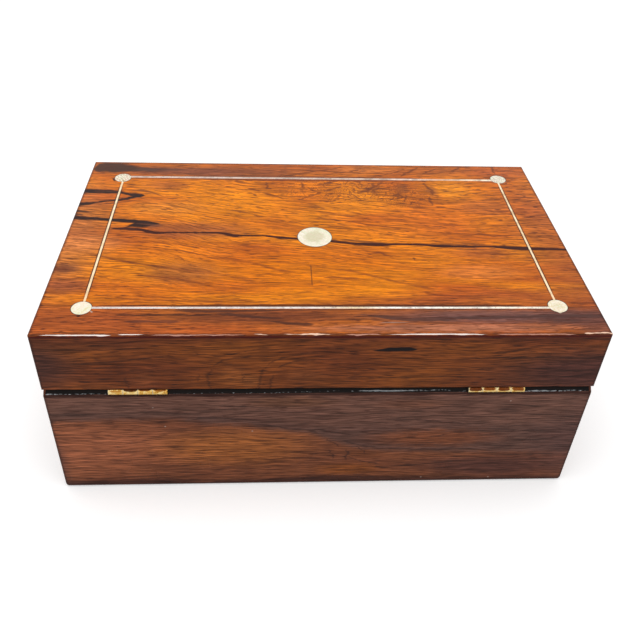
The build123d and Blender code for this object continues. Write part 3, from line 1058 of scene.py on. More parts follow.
@dataclass
class LidTop:
    """The figured veneer of the lid's top."""

    ink: str = "#21110D"
    umber: str = "#6E3014"
    soft_width: float = 1.3  # how much wider a soft line is drawn than its core
    discs: tuple[str, ...] = (
        "front_left_disc", "front_right_disc", "back_left_disc", "back_right_disc", "centre_disc",
    )

    def build(self) -> None:
        """Dresses the veneer."""
        lines = (*self.soft_lines(), *self.branch_figure(), *self.string_dirt_and_shade(), *self.streaks())
        finish = FrenchPolishedRosewood(
            "rosewood_lid_top",
            Grain.TOP,
            light="#EA860C",
            warm="#C25D12",
            dark="#4A1E10",
            bands=((70, 9, 0.5), (36, 2.0, 0.7), (19, 1.1, 1.6), (11, 0.55, 1.2)),
            dashes=((11, 0.45, 0.5), (5, 0.36, 0.85)),
            flow=((0, 0), (17, 2), (44, 4.5), (75, 13), (120, 18), (160, 23), (200, 25.5), (254, 27)),
            flow_share=((0, 0), (18, 0.15), (60, 0.9), (90, 1.15), (105, 1), (132, 0.1), (153, 0)),
            patches=self.patches(),
            marks=(*lines, *self.rims()),
            rubs=self.arris_highlight_and_chips(),
            arris_wear_and_highlight_tone="#5E3422",
        )
        dress(cad("lid_top_veneer"), finish.material())

    def patches(self) -> tuple[Mark, ...]:
        """Gives the soft changes of tone.

        Returns:
            The patches, from the lowest up.
        """
        return (
            Tide(((0, 13), (90, 16), (180, 13), (254, 15)), "#A4502C", 7, 0.6, above=False),
            Pool((58, 11), (58, 8), "#74402F", 0.8),
            Pool((100, 11), (30, 7), "#8A482C", 0.5),
            Pool((158, 6), (26, 7), "#E08238", 0.55),
            Pool((258, 74), (42, 90), "#A4562E", 0.6),
            Pool((-4, 76), (34, 75), "#B46E4A", 0.5),
            Pool((62, 72), (42, 12), "#A4562C", 0.8),
            Pool((44, 27), (18, 8), "#A2502C", 0.5),
            Pool((84, 45), (44, 26), "#F28E04", 0.6),
            Pool((120, 104), (62, 24), "#DA7400", 0.7),
            Pool((60, 108), (26, 12), "#A05A30", 0.6),
            Pool((204, 28), (16, 13), "#F0901A", 0.65),
            Pool((148, 47), (34, 13), "#F08C12", 0.6),
            Pool((46, 50), (30, 11), "#F09430", 0.5),
            Pool((14, 84), (24, 10), "#E08A4A", 0.5),
            Pool((220, 47), (24, 12), "#B8602E", 0.5),
            Pool((183, 61), (34, 30), "#D8721C", 0.5),
            Pool((210, 90), (24, 9), "#A04E28", 0.5),
            Pool((204, 107), (30, 9), "#DC7E3A", 0.5),
            Pool((5, 105), (12, 6), "#6E4030", 0.7),
            Pool((10, 118), (16, 8), "#8A4A30", 0.6),
            Tide(((0, 132), (60, 132), (130, 130), (200, 122), (254, 118)), "#9A4A26", 6, 0.65),
            Pool((24, 143), (34, 12), "#A85224", 0.5),
            Pool((205, 140), (84, 8), "#6C4A46", 0.9),
            Pool((240, 141), (34, 9), "#553833", 0.8),
            Pool((100, 140), (76, 8), "#60301F", 0.75),
            Pool((254, 148), (22, 16), "#6E4238", 0.7),
            Pool((180, 148), (90, 4), "#AC6E54", 0.75),
        )

    def soft_lines(self) -> tuple[Mark, ...]:
        """Gives the brown lines that follow the grain.

        Returns:
            The lines.
        """
        paths = (
            ((78, 51, 0), (84, 52.6, 0.8), (91, 54.6, 0.9), (104, 54.3, 0)),
            ((92, 47, 0), (96, 49, 1.2), (101, 51, 0)),
            ((112, 59, 0), (122, 60, 0.6), (140, 61.4, 0.7), (150, 64, 0)),
            ((124, 52, 0), (130, 53.6, 1), (138, 55, 0.8), (146, 55, 0)),
            ((128, 57, 0), (137, 61, 1), (145, 62.6, 0.9), (152, 65.4, 1.1), (162, 67.2, 0.9),
             (174, 69, 0.8), (186, 71, 0)),
            ((136, 50, 0), (146, 53, 0.9), (156, 57, 0.8), (168, 59, 0)),
            ((184, 64, 0), (196, 65.4, 0.9), (214, 65, 0)),
            ((190, 71, 0), (206, 73.4, 0.8), (228, 75, 0.6), (244, 75, 0)),
            ((186, 78, 0), (198, 78.6, 0.7), (210, 79.4, 0)),
            ((66, 95.4, 0), (76, 96, 0.9), (86, 97.6, 1.1), (94, 100, 0.9), (104, 104.6, 1.4),
             (110, 106.8, 1.3), (119, 107, 0)),
            ((98, 98, 0), (108, 99.3, 0.9), (121, 101.2, 0.9), (133, 104.8, 1), (144, 107.4, 1.3),
             (156, 112, 1.3), (166, 116, 1), (176, 119.5, 1.5), (184, 120.5, 0)),
            ((124, 111, 0), (132, 111.6, 1.2), (142, 112.4, 1.1), (152, 113, 0)),
            ((4, 89, 0), (18, 94, 0.9), (34, 99.6, 1.3), (52, 103.6, 1.2), (62, 106, 1.2), (76, 108.4, 1),
             (93, 114, 0.9), (108, 118, 0)),
            ((34, 107, 0), (42, 109.8, 1.4), (58, 112.4, 1.8), (66, 114.6, 1.2), (78, 119.4, 1),
             (90, 120.4, 0.9), (100, 122, 0)),
            ((24, 98.4, 0), (34, 99, 1), (42, 99.4, 0)),
            ((52, 92, 0), (60, 97, 1), (62, 102, 0)),
            ((14, 81, 0), (30, 82.4, 0.9), (48, 83, 0.8), (62, 86, 0.7), (80, 88, 0)),
            ((20, 89.4, 0), (50, 88.8, 0.7), (62, 91, 0.9), (74, 96, 0)),
            ((0, 105, 2.6), (4, 105, 2.8), (9, 106, 1.6), (14, 107, 0)),
            ((0, 123, 1.6), (10, 124, 1.4), (24, 125, 0.9), (60, 127, 1), (90, 129, 1.2), (104, 131, 0)),
            ((18, 126, 0), (40, 128, 1), (58, 129, 0.9), (72, 129.6, 1.2), (96, 130.6, 0)),
            ((172, 121, 0), (176, 123.4, 1.6), (186, 125.4, 1), (197, 127.4, 1.3), (204, 127.6, 0)),
            ((150, 91, 0), (156, 91, 1.2), (161, 93.6, 1.2), (165, 95, 0)),
            ((196, 88, 0), (206, 91, 1.3), (222, 91.4, 1.2), (234, 91, 0)),
            ((228, 120.4, 0), (240, 120.2, 0.8), (254, 120, 0.9)),
            ((238, 130, 0), (246, 130.6, 1.3), (254, 131, 1.2)),
            ((224, 33, 0), (238, 36.6, 0.8), (254, 37, 0.9)),
            ((234, 56, 0), (242, 56.6, 1), (254, 57.4, 1)),
            ((212, 47, 0), (222, 50.4, 1.1), (234, 52, 0.9), (254, 53, 0.6)),
            ((56, 63, 0), (62, 67.6, 0.6), (68, 70, 0.7), (78, 72, 0)),
        )
        wide = [tuple((x, y, self.soft_width * half) for x, y, half in path) for path in paths]
        return tuple(Streak(path, self.umber, 0.62, 1.5, 0.9) for path in wide)

    def branch_figure(self) -> tuple[Mark, ...]:
        """Gives the broken, curly lines where a branch grew near the far edge.

        Returns:
            The figure, its soft patches first.
        """
        sloping = (
            ((106, 15, 0), (112, 14.4, 1.6), (118, 12.6, 1.6), (126, 9.4, 1.5), (136, 6.6, 1.2),
             (144, 3.4, 1), (150, 1, 0)),
            ((128, 13, 0), (140, 11, 0.9), (152, 7.4, 0.9), (160, 3, 0)),
            ((158, 14.6, 0), (163, 14, 1.3), (172, 10.6, 1), (182, 5, 0.8), (186, 2, 0)),
            ((80, 20.6, 0), (84, 22, 1.8), (90, 23.6, 1), (96, 25, 0)),
            ((88, 28, 0), (91, 29.8, 1.8), (95, 31.4, 1.6), (99, 33, 0)),
            ((96, 33, 0), (98.4, 34, 1.3), (103, 35.8, 1.2), (107, 38.6, 1.1), (112, 42, 0)),
            ((88, 39, 0), (93, 38.8, 0.9), (98, 39, 0)),
            ((91, 34.4, 0), (93.4, 36, 1.4), (96.4, 38.6, 0)),
            ((124, 26, 0), (130, 24.4, 1.4), (135, 22.4, 1.6), (140, 20.4, 1.2), (143, 19, 0)),
            ((148, 20.8, 0), (152, 20.6, 1.3), (157, 20.4, 0)),
            ((149, 33, 0), (153, 32, 2), (157, 29.6, 2.4), (161, 26.4, 2.2), (165, 22.6, 1.8), (169, 20, 0)),
            ((157, 31, 0), (161, 30, 1.6), (164, 27, 1.2), (165, 25, 0)),
            ((146, 33, 0), (148.6, 35.6, 1.2), (151.6, 39.4, 1.2), (153, 41, 0)),
            ((131, 32, 0), (135, 30.4, 1.3), (140, 27, 1), (146, 24, 0)),
            ((114, 42, 0), (120, 40, 0.7), (127, 35, 0.8), (131, 32, 0)),
            ((128, 44, 0), (135, 42.4, 1), (142, 39, 0.9), (150, 35, 0)),
        )
        steep = (
            ((100.6, 20, 0), (100, 24, 1.2), (100.4, 28, 1.2), (99, 31, 0)),
            ((119, 20, 0), (120.6, 24, 1.3), (121, 28, 1), (123, 31, 0)),
            ((122, 25, 0), (124, 28.4, 1.1), (126.6, 31.4, 1.2), (128, 33, 0)),
            ((152.4, 20, 0), (153.6, 23, 1.1), (155.4, 26, 0)),
            ((148.4, 25, 0), (149.6, 29, 1), (149, 34, 0)),
            ((172, 19, 0), (172.4, 22, 0.9), (171.4, 25, 0)),
            ((177, 15.8, 0), (180, 12, 1.7), (184.4, 8, 1.6), (189, 3.6, 1.4), (192, 1, 0)),
            ((188, 13, 0), (193, 9.6, 1.3), (199, 5.4, 1.2), (203, 2, 0)),
            ((209, 10, 0), (211, 6.4, 2), (215, 2.6, 1.2), (217, 1, 0)),
            ((172.6, 31, 0), (174.4, 34.4, 1.5), (175.6, 37, 1.2), (175, 40, 0)),
            ((171.4, 36, 0), (170, 39, 1), (168.6, 42, 0)),
            ((178.6, 33, 0), (178.4, 37, 1.1), (176.6, 41, 1), (174.6, 44, 0)),
            ((181.4, 40, 0), (180, 44, 0.9), (178, 47, 0)),
            ((191.4, 19.6, 0), (190.6, 23, 1.8), (192.4, 27, 1.8), (194, 32, 2), (193, 36, 0)),
            ((191.6, 34, 0), (191, 39, 1.3), (191.6, 44, 1.1), (191, 48, 0)),
            ((235.4, 1, 1), (235, 7, 1.2), (235.4, 12, 0)),
        )
        tone = {"tone": "#723612", "strength": 0.78, "soft": 0.8}
        fans = (
            Pool((177, 28), (6, 8), "#94511F", 0.75, 4.0),
            Pool((194, 30), (5, 8), "#9C5624", 0.6, 4.0),
            Pool((159, 29), (8, 6), "#8A4A18", 0.6, 4.0),
            Curl((147, 30), (58, 19), 6.0, "#7E3C10", 0.75),
            Curl((176, 36), (26, 18), 4.0, "#743610", 0.7),
            Scratch(122, (101, 118.4), 0.4, "#5E2C10", 0.75),
        )
        return (
            *fans,
            *(Streak(path, rag=1.5, **tone) for path in sloping),
            *(Streak(path, rag=1.5, steep=True, **tone) for path in steep),
        )

    def string_dirt_and_shade(self) -> tuple[Mark, ...]:
        """Gives the dark lines beside the strings: old glue and polish, and painted shadow along their edges.

        Returns:
            The lines.
        """
        (_, far_up), (_, far_low) = box_of("front_string")
        (_, near_up), (_, near_low) = box_of("back_string")
        beside = (  # a string's edge, a path from it and its look
            (far_low, ((22, 0.4, 0), (26, 0.5, 0.7), (50, 0.9, 0.9), (90, 1.2, 1.3), (140, 1, 1.4),
                       (180, 0.8, 1), (228, 0.5, 0)), ("#6A2A14", 0.8)),
            (far_up, ((40, -0.6, 0), (90, -0.9, 1.3), (160, -0.8, 1), (216, -0.5, 0)), ("#5E3228", 0.7)),
            (near_up, ((22, -0.8, 0), (27, -0.8, 0.7), (62, -0.8, 0.9), (84, -0.8, 1.2), (140, -0.8, 1.3),
                       (212, -0.7, 1), (230, -0.6, 0)), ("#45200F", 0.85, 0.5, 0.5)),
            (near_low, ((22, 0.5, 0), (27, 0.5, 0.5), (60, 1, 0.9), (70, 1.6, 1.5), (92, 1.4, 1.2),
                        (130, 0.8, 0.8), (180, 0.6, 0.7), (230, 0.6, 0.5), (235, 0.6, 0)), ("#3C241F", 0.8)),
        )
        # These lines are old glue and polish, and painted shadow along the strings' edges.
        dirt = [
            *(Streak(moved(path, 0, edge), *look) for edge, path, look in beside),
            Streak(((26, 138.8, 0), (40, 139, 0.7), (74, 139, 0.7), (80, 139, 0)), "#3A1D14", 0.85),
            Streak(((76, 138, 0), (84, 138.6, 1.3), (96, 140.4, 1.2), (106, 141.4, 0.9), (112, 142, 0)),
                   "#43261E", 0.8),
            Streak(((34, 143.6, 0), (44, 143.4, 1.2), (60, 143.6, 1.3), (66, 143.6, 0)), "#5A3026", 0.7),
            Streak(((98, 143, 0), (104, 143.6, 0.9), (112, 145, 1.5), (120, 145.4, 1.2), (124, 145.6, 0)),
                   "#43241A", 0.85),
            Streak(((134, 138.6, 0), (144, 139, 1), (152, 140.4, 1.6), (168, 142.4, 2), (196, 141, 1.6),
                    (254, 140, 1.6)), "#4A302B", 0.8, 1.0),
            Streak(((146, 145, 0), (156, 144.2, 0.5), (170, 144.2, 0)), "#A08478", 0.7, 0.2),
            Streak(((166, 137, 0), (180, 137, 0.6), (220, 138, 0.5), (240, 138, 0)), "#8A5A4A", 0.5),
        ]
        for node in ("left_string", "right_string"):
            low, high = box_of(node)
            for line in (low[0] - 0.15, high[0] + 0.15):
                dirt.append(Scratch(line, (low[1], high[1]), 0.6, "#4E2414", 0.85))
        return tuple(dirt)

    def streaks(self) -> tuple[Mark, ...]:
        """Gives the black streaks.

        Returns:
            The streaks, from the lowest up.
        """
        ink = {"tone": self.ink, "rag": 1.0, "soft": 0.5}
        brown = {"tone": "#5A301C", "strength": 0.75, "soft": 1.0}
        fibre = {"tone": "#6E3E28", "strength": 0.7, "rag": 0.8, "soft": 0.9}
        crack = {"tone": "#380F05", "rag": 0.5, "soft": 0.35}
        return (
            Streak(((0, 9, 1), (3, 7.4, 6), (8, 6.8, 7.6), (14, 7, 7.4), (21, 7.8, 6), (28, 8.8, 4.2),
                    (36, 9, 2.8), (46, 9, 0)), "#38261F", 0.93, 2.0, 0.45),
            Streak(((20, 9, 0), (30, 8.6, 4), (46, 8.6, 3), (62, 9, 0)), "#5A3A30", 0.7, 1.6, 0.8),
            Streak(((0, 33.6, 2.95), (6, 33.8, 2.85), (14, 34, 2.65), (20, 34.8, 2.15), (24, 36.2, 2.05),
                    (28, 37.6, 2.75), (32, 37.9, 2.55), (35, 38, 0)), **ink),
            Streak(((18, 32.6, 0), (26, 32.4, 1), (33, 33, 1.3), (38, 35, 1.2), (42, 37.6, 1), (46, 39, 0)),
                   **brown),
            Streak(((49, 35.6, 0), (51, 36.6, 1), (54, 38.8, 0)), **brown),
            Streak(((0, 47.2, 2.55), (5, 46.6, 2.25), (9, 45.2, 1.65), (14, 44.2, 1.45), (20, 42.8, 1.65),
                    (25, 41, 1.95), (29, 39.4, 1.85), (32, 38.6, 0)), **ink),
            Streak(((4, 49, 0), (14, 46.6, 0.8), (28, 43.6, 0.7), (34, 42, 0)), **brown),
            Streak(((0, 54.2, 1.6), (4, 54.4, 1.5), (8, 54.8, 0.8), (16, 56, 0)), "#33201A", 0.9),
            Streak(((0, 57.4, 1.6), (3, 57.6, 1.2), (6, 58, 0)), "#4A2C24", 0.8),
            Streak(((0, 60.6, 2.35), (8, 61.2, 2.05), (16, 62, 1.85), (22, 62.8, 2.05), (30, 63.6, 2.25),
                    (38, 64.4, 2.15), (43, 65.6, 1.35), (46, 66.4, 0)), **ink),
            Streak(((25, 70.4, 0), (28, 69.6, 1.2), (31, 67.8, 2.4), (34, 67, 3.2), (38, 67, 3.2),
                    (41, 66, 2.6), (44, 66, 1.6), (47, 67, 0)), self.ink, 1.0, 1.2, 0.55),
            Streak(((30, 65.4, 0), (34, 65.8, 0.7), (40, 66.6, 0.9), (47, 66.4, 0.8), (50, 66.6, 0)),
                   **fibre),
            Streak(((2, 33.4, 0), (8, 33.6, 0.6), (18, 34.2, 0.6), (22, 34.8, 0)), **fibre),
            Streak(((38, 69, 0), (42, 68, 2.6), (46, 68, 1.8), (50, 68.4, 0)), "#5E3A30", 0.7, 1.4, 1.0),
            Streak(((18, 69.4, 0), (23, 70.4, 1.15), (30, 70.8, 1.25), (36, 71.4, 1.45), (40, 73, 1.55),
                    (45, 74.3, 1.35), (52, 73.8, 0.95), (64, 73.9, 0.95), (72, 73.9, 1.05), (77, 74.2, 1.25),
                    (81, 75.4, 1.55), (85, 76.6, 1.45), (90, 76.2, 1.05), (98, 76.4, 0.95),
                    (105, 77.5, 1.15), (110, 78.3, 1.25), (116, 79, 1.15), (124, 80, 0)), **crack),
            Streak(((124, 79, 0), (134, 81, 1.6), (140, 82.3, 1.4), (146, 83.2, 1.5), (151, 83.5, 1.8),
                    (157, 83.8, 1.8), (165, 83.5, 1.4), (173, 83.4, 1.3), (181, 83.8, 1.4), (188, 84.8, 1.7),
                    (196, 85, 1.4), (206, 85.1, 1.2), (214, 85.1, 1.1), (221, 85.8, 1.7), (228, 86.3, 2.1),
                    (236, 86.7, 1.9), (246, 87.1, 1.5), (254, 87.4, 1.4)), **crack),
            Streak(((134, 78.4, 0), (140, 79.6, 1.4), (148, 80.8, 1.6), (158, 82, 1.2), (166, 82, 0)),
                   **brown),
            Streak(((184, 82.6, 0), (192, 83, 1.3), (204, 83, 1.4), (214, 83.6, 0.9), (224, 84, 0)), **brown),
            Streak(((112, 75, 0), (116, 76.6, 1.2), (118, 78, 0)), **brown),
            Streak(((196, 87.4, 0), (212, 88, 0.9), (234, 89, 0)), "#8A3A1C", 0.5),
            Streak(((172, 95.6, 0), (173.6, 96, 1.4), (175.4, 95.8, 0)), "#54280F", 0.8),
            Streak(((84, 75, 0), (90, 74.6, 0.6), (100, 75.2, 0)), **brown),
        )

    def rims(self) -> tuple[Mark, ...]:
        """Gives the dirt round the discs and the nicks beside some of them.

        Returns:
            The rims and the nicks.
        """
        nicks = (  # a disc, radii from its middle towards the hinges, a path from there and its look
            ("back_right_disc", 1, ((-2.2, 0.6, 0), (0, 1, 1.2), (1.4, 0.8, 0)), ("#2A120D", 0.9)),
            ("back_right_disc", 1, ((3.6, -2.4, 0), (5, -1.9, 0.7), (6, -1.6, 0)), ("#D8C4B0", 0.9)),
            ("back_left_disc", 1, ((-1.4, 0, 0), (-0.2, 0.4, 0.9), (0.8, 0, 0)), ("#E8DDBE", 1.0, 0.1)),
            ("front_right_disc", 0, ((-5.8, 1, 0), (-5, 1.8, 1.9), (-4, 3.2, 1.3), (-2.6, 4.4, 0)),
             ("#2E1E16", 0.9, 0.3)),
        )
        marks: list[Mark] = [disc_rim(node) for node in self.discs]
        for node, radii, path, look in nicks:
            rim = disc_rim(node)
            marks.append(Streak(moved(path, rim.centre[0], rim.centre[1] + radii * rim.radius), *look))
        marks.append(Streak(((233, 20.6, 0), (236, 22, 0.8), (239, 21, 1), (241, 19, 0)), "#5A2E20", 0.7))
        path = ((8, 80, 0), (10, 80.4, 1.6), (14, 81, 0))
        marks.append(Streak(moved(path, disc_rim("centre_disc").centre[0], 0), "#5A2A12", 0.6))
        return tuple(marks)

    def arris_highlight_and_chips(self) -> tuple[Mark, ...]:
        """Gives the painted highlight along the near arris, where its polished rounding reflects the light,
        and the bare wood where it is chipped.

        Returns:
            The painted highlight, the chips and the thin edge.
        """
        painted_arris_highlight = (
            ((3, 152.1, 0), (8, 152.1, 0.14), (20, 152.1, 0.26), (32, 152.1, 0.24), (36, 152.1, 0)),
            ((37, 151.9, 0), (40, 151.9, 0.26), (46, 151.9, 0.22), (50, 151.9, 0)),
            ((151, 152.1, 0), (158, 152.1, 0.16), (168, 152, 0.3), (184, 152, 0.32), (192, 152.1, 0.18),
             (200, 152.1, 0)),
        )
        faint_painted_highlight = (
            ((50, 152.1, 0), (56, 152.1, 0.18), (88, 152.1, 0.14), (94, 152.1, 0)),
            ((134, 152.1, 0), (138, 152.1, 0.18), (148, 152.1, 0.14), (152, 152.1, 0)),
            ((200, 152.1, 0), (206, 152.1, 0.2), (234, 152.1, 0.16), (239, 152.1, 0)),
        )
        chips = (
            ((95, 152, 0), (97, 151.9, 0.25), (100, 152, 0.2), (102, 152, 0)),
            ((107, 152, 0), (111, 152, 0.22), (114, 151.8, 0.14), (118, 151.8, 0.4), (124, 151.8, 0.32),
             (127, 152, 0.14), (133, 152, 0)),
            ((240, 151.9, 0), (243, 151.7, 0.36), (248, 151.6, 0.3), (250, 151.3, 0.45), (252.6, 151.5, 0.3),
             (254, 151.9, 0.2)),
        )
        return (
            # The near-white and pale pink lines are painted highlights on the rounded arris.
            *(Streak(path, "#FFF0E8", 0.95, 0.15, 0.3) for path in painted_arris_highlight),
            *(Streak(path, "#D8A08C", 0.75, 0.3, 0.3) for path in faint_painted_highlight),
            *(Streak(path, "#F6CDB2", 0.95, 0.6, 0.3) for path in chips),
            Brink(100.95),
        )


@dataclass
class Sides:
    """The veneers of the four sides."""

    plain_tones: Tones = ("#8E4C1D", "#70371B", "#2A1410")
    base_back_tones: Tones = ("#A05A30", "#8A4A2A", "#3A1C14")
    bands: tuple[Triple, ...] = ((80, 7, 0.3), (36, 1.4, 0.8), (20, 0.7, 1.6), (11, 0.4, 2.4))
    dashes: tuple[Triple, ...] = ((16, 0.5, 0.5), (8, 0.4, 0.8))

    def build(self) -> None:
        """Dresses the eight side veneers."""
        line = ((0, 100.5, 0.6), (60, 100.4, 0.7), (140, 100.3, 0.8), (254, 100.4, 0.7))
        joint = Streak(line, "#480A05", 0.9, 0.3)
        lid_back = self.wood(
            "lid_back", Grain.LONG_SIDE, self.plain_tones, 3.0,
            patches=self.lid_back_patches(), marks=self.lid_back_marks(), rubs=(joint,),
        )
        base_back = self.wood(
            "base_back", Grain.LONG_SIDE, self.base_back_tones, 5.0,
            patches=self.base_back_patches(), marks=self.base_back_marks(),
        )
        front = self.wood(
            "front", Grain.LONG_SIDE, self.plain_tones, 13.0,
            patches=self.front_patches(), marks=self.front_marks(),
        )
        end = self.wood(
            "end", Grain.END, self.plain_tones, 9.0, patches=self.end_patches(), marks=self.end_marks()
        )
        for finish, nodes in (
            (lid_back, ("lid_back",)),
            (base_back, ("base_back",)),
            (front, ("lid_front", "base_front")),
            (end, ("lid_left", "lid_right", "base_left", "base_right")),
        ):
            material = finish.material()
            for node in nodes:
                dress(cad(f"{node}_veneer"), material)

    def wood(
        self, name: str, grain: Grain, tones: Tones, seed: float, **figure: tuple[Mark, ...]
    ) -> FrenchPolishedRosewood:
        """Gives the finish of one side.

        Args:
            name: The side.
            grain: Which way its face lies.
            tones: Its light, warm and dark tones.
            seed: What makes its grain its own.
            figure: Its patches, marks, and edge wear and highlights.

        Returns:
            The finish.
        """
        look = (*tones, self.bands, self.dashes, seed)
        return FrenchPolishedRosewood(f"rosewood_{name}", grain, *look, **figure)

    def lid_back_patches(self) -> tuple[Mark, ...]:
        """Gives the soft changes of tone on the lid's hinge side.

        Returns:
            The patches, from the lowest up.
        """
        return (
            Pool((-4, 84), (30, 22), "#4C2E2A", 0.8),
            Pool((86, 77), (10, 8), "#9A5628", 0.7, 1.5),
            Pool((94, 74), (6, 6), "#94552A", 0.6, 1.5),
            Pool((46, 75), (9, 6), "#8A4A28", 0.6),
            Pool((118, 77), (12, 6), "#8A4E2A", 0.4),
            Pool((250, 78), (64, 22), "#4A2A27", 0.9),
            Pool((28, 96), (34, 5), "#5C2E20", 0.5),
            Tide(((0, 97), (120, 98), (254, 97.6)), "#4E2018", 2.5, 0.5),
        )

    def lid_back_marks(self) -> tuple[Mark, ...]:
        """Gives the figure of the lid's hinge side.

        Returns:
            The lines and rings.
        """
        level = (
            ((99.4, 82, 0), (103, 85.4, 1), (109, 88.4, 1.1), (118, 90.6, 0.9), (134, 92, 0.6), (150, 93, 0)),
            ((104.4, 80, 0), (107, 83, 0.9), (113, 85.6, 0.9), (126, 87, 0.7), (146, 87.4, 0)),
            ((76, 81, 0), (79, 84.6, 1), (84, 87.4, 0.9), (92, 89, 0.8), (100, 92, 0)),
            ((60, 92, 0), (70, 91, 0.7), (80, 89.6, 0.9), (90, 91.6, 0.8), (104, 95, 0)),
            ((8, 84, 0), (22, 85, 0.9), (36, 86.6, 0.9), (54, 89, 0.7), (70, 93, 0)),
            ((0, 80.6, 1.2), (8, 80.4, 1), (14, 80.8, 0.8), (24, 81, 0)),
            ((38, 79, 0), (41, 80.6, 1.1), (48, 81, 0.9), (58, 80.4, 0.8), (72, 82, 0)),
            ((106, 74, 0), (122, 77.4, 0.6), (150, 75.6, 0.7), (190, 76.4, 0.5), (210, 78, 0)),
            ((108, 80, 0), (130, 82, 0.7), (160, 81, 0.7), (194, 80.4, 0.8), (202, 80.8, 1.3),
             (208, 80.2, 0)),
            ((176, 86, 0), (200, 87.6, 1), (226, 87.6, 1), (254, 88, 0.8)),
            ((196, 89.4, 0), (206, 90.6, 0.9), (214, 92.4, 0.8), (224, 95, 0)),
            ((212, 84, 0), (218, 84, 1.7), (224, 84, 0)),
            ((222, 78, 0), (236, 79.4, 0.9), (254, 79.6, 0.8)),
        )
        rings = (
            ((97.4, 69, 0.9), (97.8, 75, 1.2), (99.4, 81, 1.1), (102, 84.6, 0)),
            ((102.2, 69, 0.9), (103, 75, 1.1), (105, 80.6, 0)),
            ((75.4, 69, 0.8), (74.6, 75, 1.2), (76, 80, 1.1), (78.6, 84, 0)),
            ((70.6, 71, 0), (70.4, 76, 0.8), (72, 81, 0)),
            ((89, 71, 0), (90.4, 76, 0.8), (89.6, 82, 0)),
            ((39, 69, 0.8), (38.2, 74.6, 1.1), (40, 80, 0)),
        )
        tone = {"tone": "#2C1A14", "soft": 1.0}
        return (
            *(Streak(path, rag=1.4, strength=0.62, **tone) for path in level),
            *(Streak(path, rag=1.8, strength=0.5, steep=True, **tone) for path in rings),
            Streak(((145, 92, 0), (150, 92.4, 0.8), (156, 92.9, 1.5), (163, 93.1, 1.5), (166, 92.9, 1),
                    (168.4, 92.7, 0)), "#171012", 1.0, 0.2, 0.4),
        )

    def base_back_patches(self) -> tuple[Mark, ...]:
        """Gives the soft changes of tone on the base's hinge side.

        Returns:
            The patches, from the lowest up.
        """
        shore = ((0, 48.2), (26, 48.6), (50, 49.2), (58, 48.8), (66, 47.2), (72, 45.8), (84, 45.2),
                 (92, 44.2), (98, 42.4), (106, 40.6), (118, 39), (124, 37.2), (130, 33.6), (140, 29),
                 (152, 26), (180, 24), (254, 22))
        return (
            Pool((20, 28), (62, 26), "#CC7448", 0.8),
            Pool((84, 28), (52, 19), "#CE762E", 0.9),
            Pool((-2, 20), (8, 30), "#5A3630", 0.7),
            Tide(shore, "#6A4A40", 2.6, 0.9),
            Tide(((0, 52), (60, 52), (110, 45), (150, 42), (254, 44)), "#4A3531", 3, 0.4, above=False),
            Pool((112, 60), (30, 6), "#74492F", 0.55),
            Pool((182, 34), (44, 9), "#85492A", 0.8, 4),
            Pool((170, 58), (26, 5), "#744630", 0.5),
            Pool((150, 22), (16, 5), "#7A4426", 0.5),
            Pool((142, 11), (24, 7), "#8E4E22", 0.85),
            Pool((214, 12), (56, 12), "#553430", 0.7),
            Pool((262, 30), (40, 40), "#5A3A36", 0.6),
            Tide(((0, 4), (50, 5), (70, 3.4), (90, 3.6), (124, 5.6), (144, 6), (170, 4.4), (254, 3)),
                 "#3A211D", 1.6, 0.8, above=False),
        )

    def base_back_marks(self) -> tuple[Mark, ...]:
        """Gives the figure of the base's hinge side.

        Returns:
            The lines and the specks of dust.
        """
        strokes = (
            ((0, 48.2, 1), (6, 48.2, 0.8), (12, 48.3, 0.6), (20, 48.6, 0)),
            ((62, 49, 0), (70, 49.4, 1.2), (78, 49.6, 1), (88, 48.4, 1.1), (100, 47, 1), (112, 44, 0)),
            ((90, 45, 0), (100, 44, 1), (110, 42, 1), (122, 40, 1.1), (128, 37.6, 0)),
            ((64, 57.6, 0), (80, 58, 0.7), (92, 57, 1), (106, 56.6, 0.9), (126, 57.4, 0)),
            ((120, 42, 0), (128, 40, 0.9), (140, 37, 0.9), (150, 36, 0)),
            ((134, 21, 0), (140, 20.4, 1), (146, 18, 0.9), (154, 15, 1), (162, 14, 0)),
            ((130, 36, 0), (142, 31, 1), (150, 28, 1), (160, 26.4, 1.2), (172, 25.6, 1), (186, 25, 0.9),
             (200, 25.6, 0)),
            ((150, 47, 0), (164, 47.6, 1.3), (184, 45.4, 1.1), (204, 44, 1.1), (216, 45, 0)),
            ((170, 34, 0), (182, 35, 0.9), (196, 38, 1), (214, 38.6, 0)),
            ((206, 54, 0), (216, 53.4, 1.8), (226, 53, 0)),
            ((216, 38, 0), (232, 38.4, 1), (246, 38, 0)),
            ((160, 12.4, 0), (170, 13, 1.5), (182, 14.4, 1), (196, 16, 1.1), (210, 16.6, 1), (222, 18, 0)),
            ((206, 22, 0), (222, 20.4, 1.2), (240, 20.6, 1), (254, 20.4, 0.8)),
            ((150, 14.4, 0), (158, 12, 1), (168, 11.4, 0)),
            ((28, 53.4, 0), (46, 53.6, 1.3), (64, 52.6, 1.2), (80, 52, 0)),
            ((0, 53, 1), (16, 52.4, 1.2), (32, 53.6, 0)),
            ((140, 5.4, 0), (152, 4.6, 1.2), (166, 4.2, 0)),
        )
        squiggles = (
            ((128.6, 36, 0), (131, 32.4, 1), (135, 29.6, 1), (136.6, 26, 0)),
            ((131, 28, 0), (131.6, 24.6, 0.8), (133.6, 21, 0.8), (133, 17, 0)),
            ((138.6, 28, 0), (141, 24, 1), (139.6, 20, 1), (141, 16, 0)),
            ((144.6, 30, 0), (146.4, 27, 0.8), (149, 24, 0.8), (150, 21, 0)),
        )
        tone = {"tone": "#35221E", "strength": 0.66, "soft": 1.0}
        dust = ((53, 44), (94, 40.2), (48.4, 57), (216, 59.6), (215.4, 3), (180, 3.6))
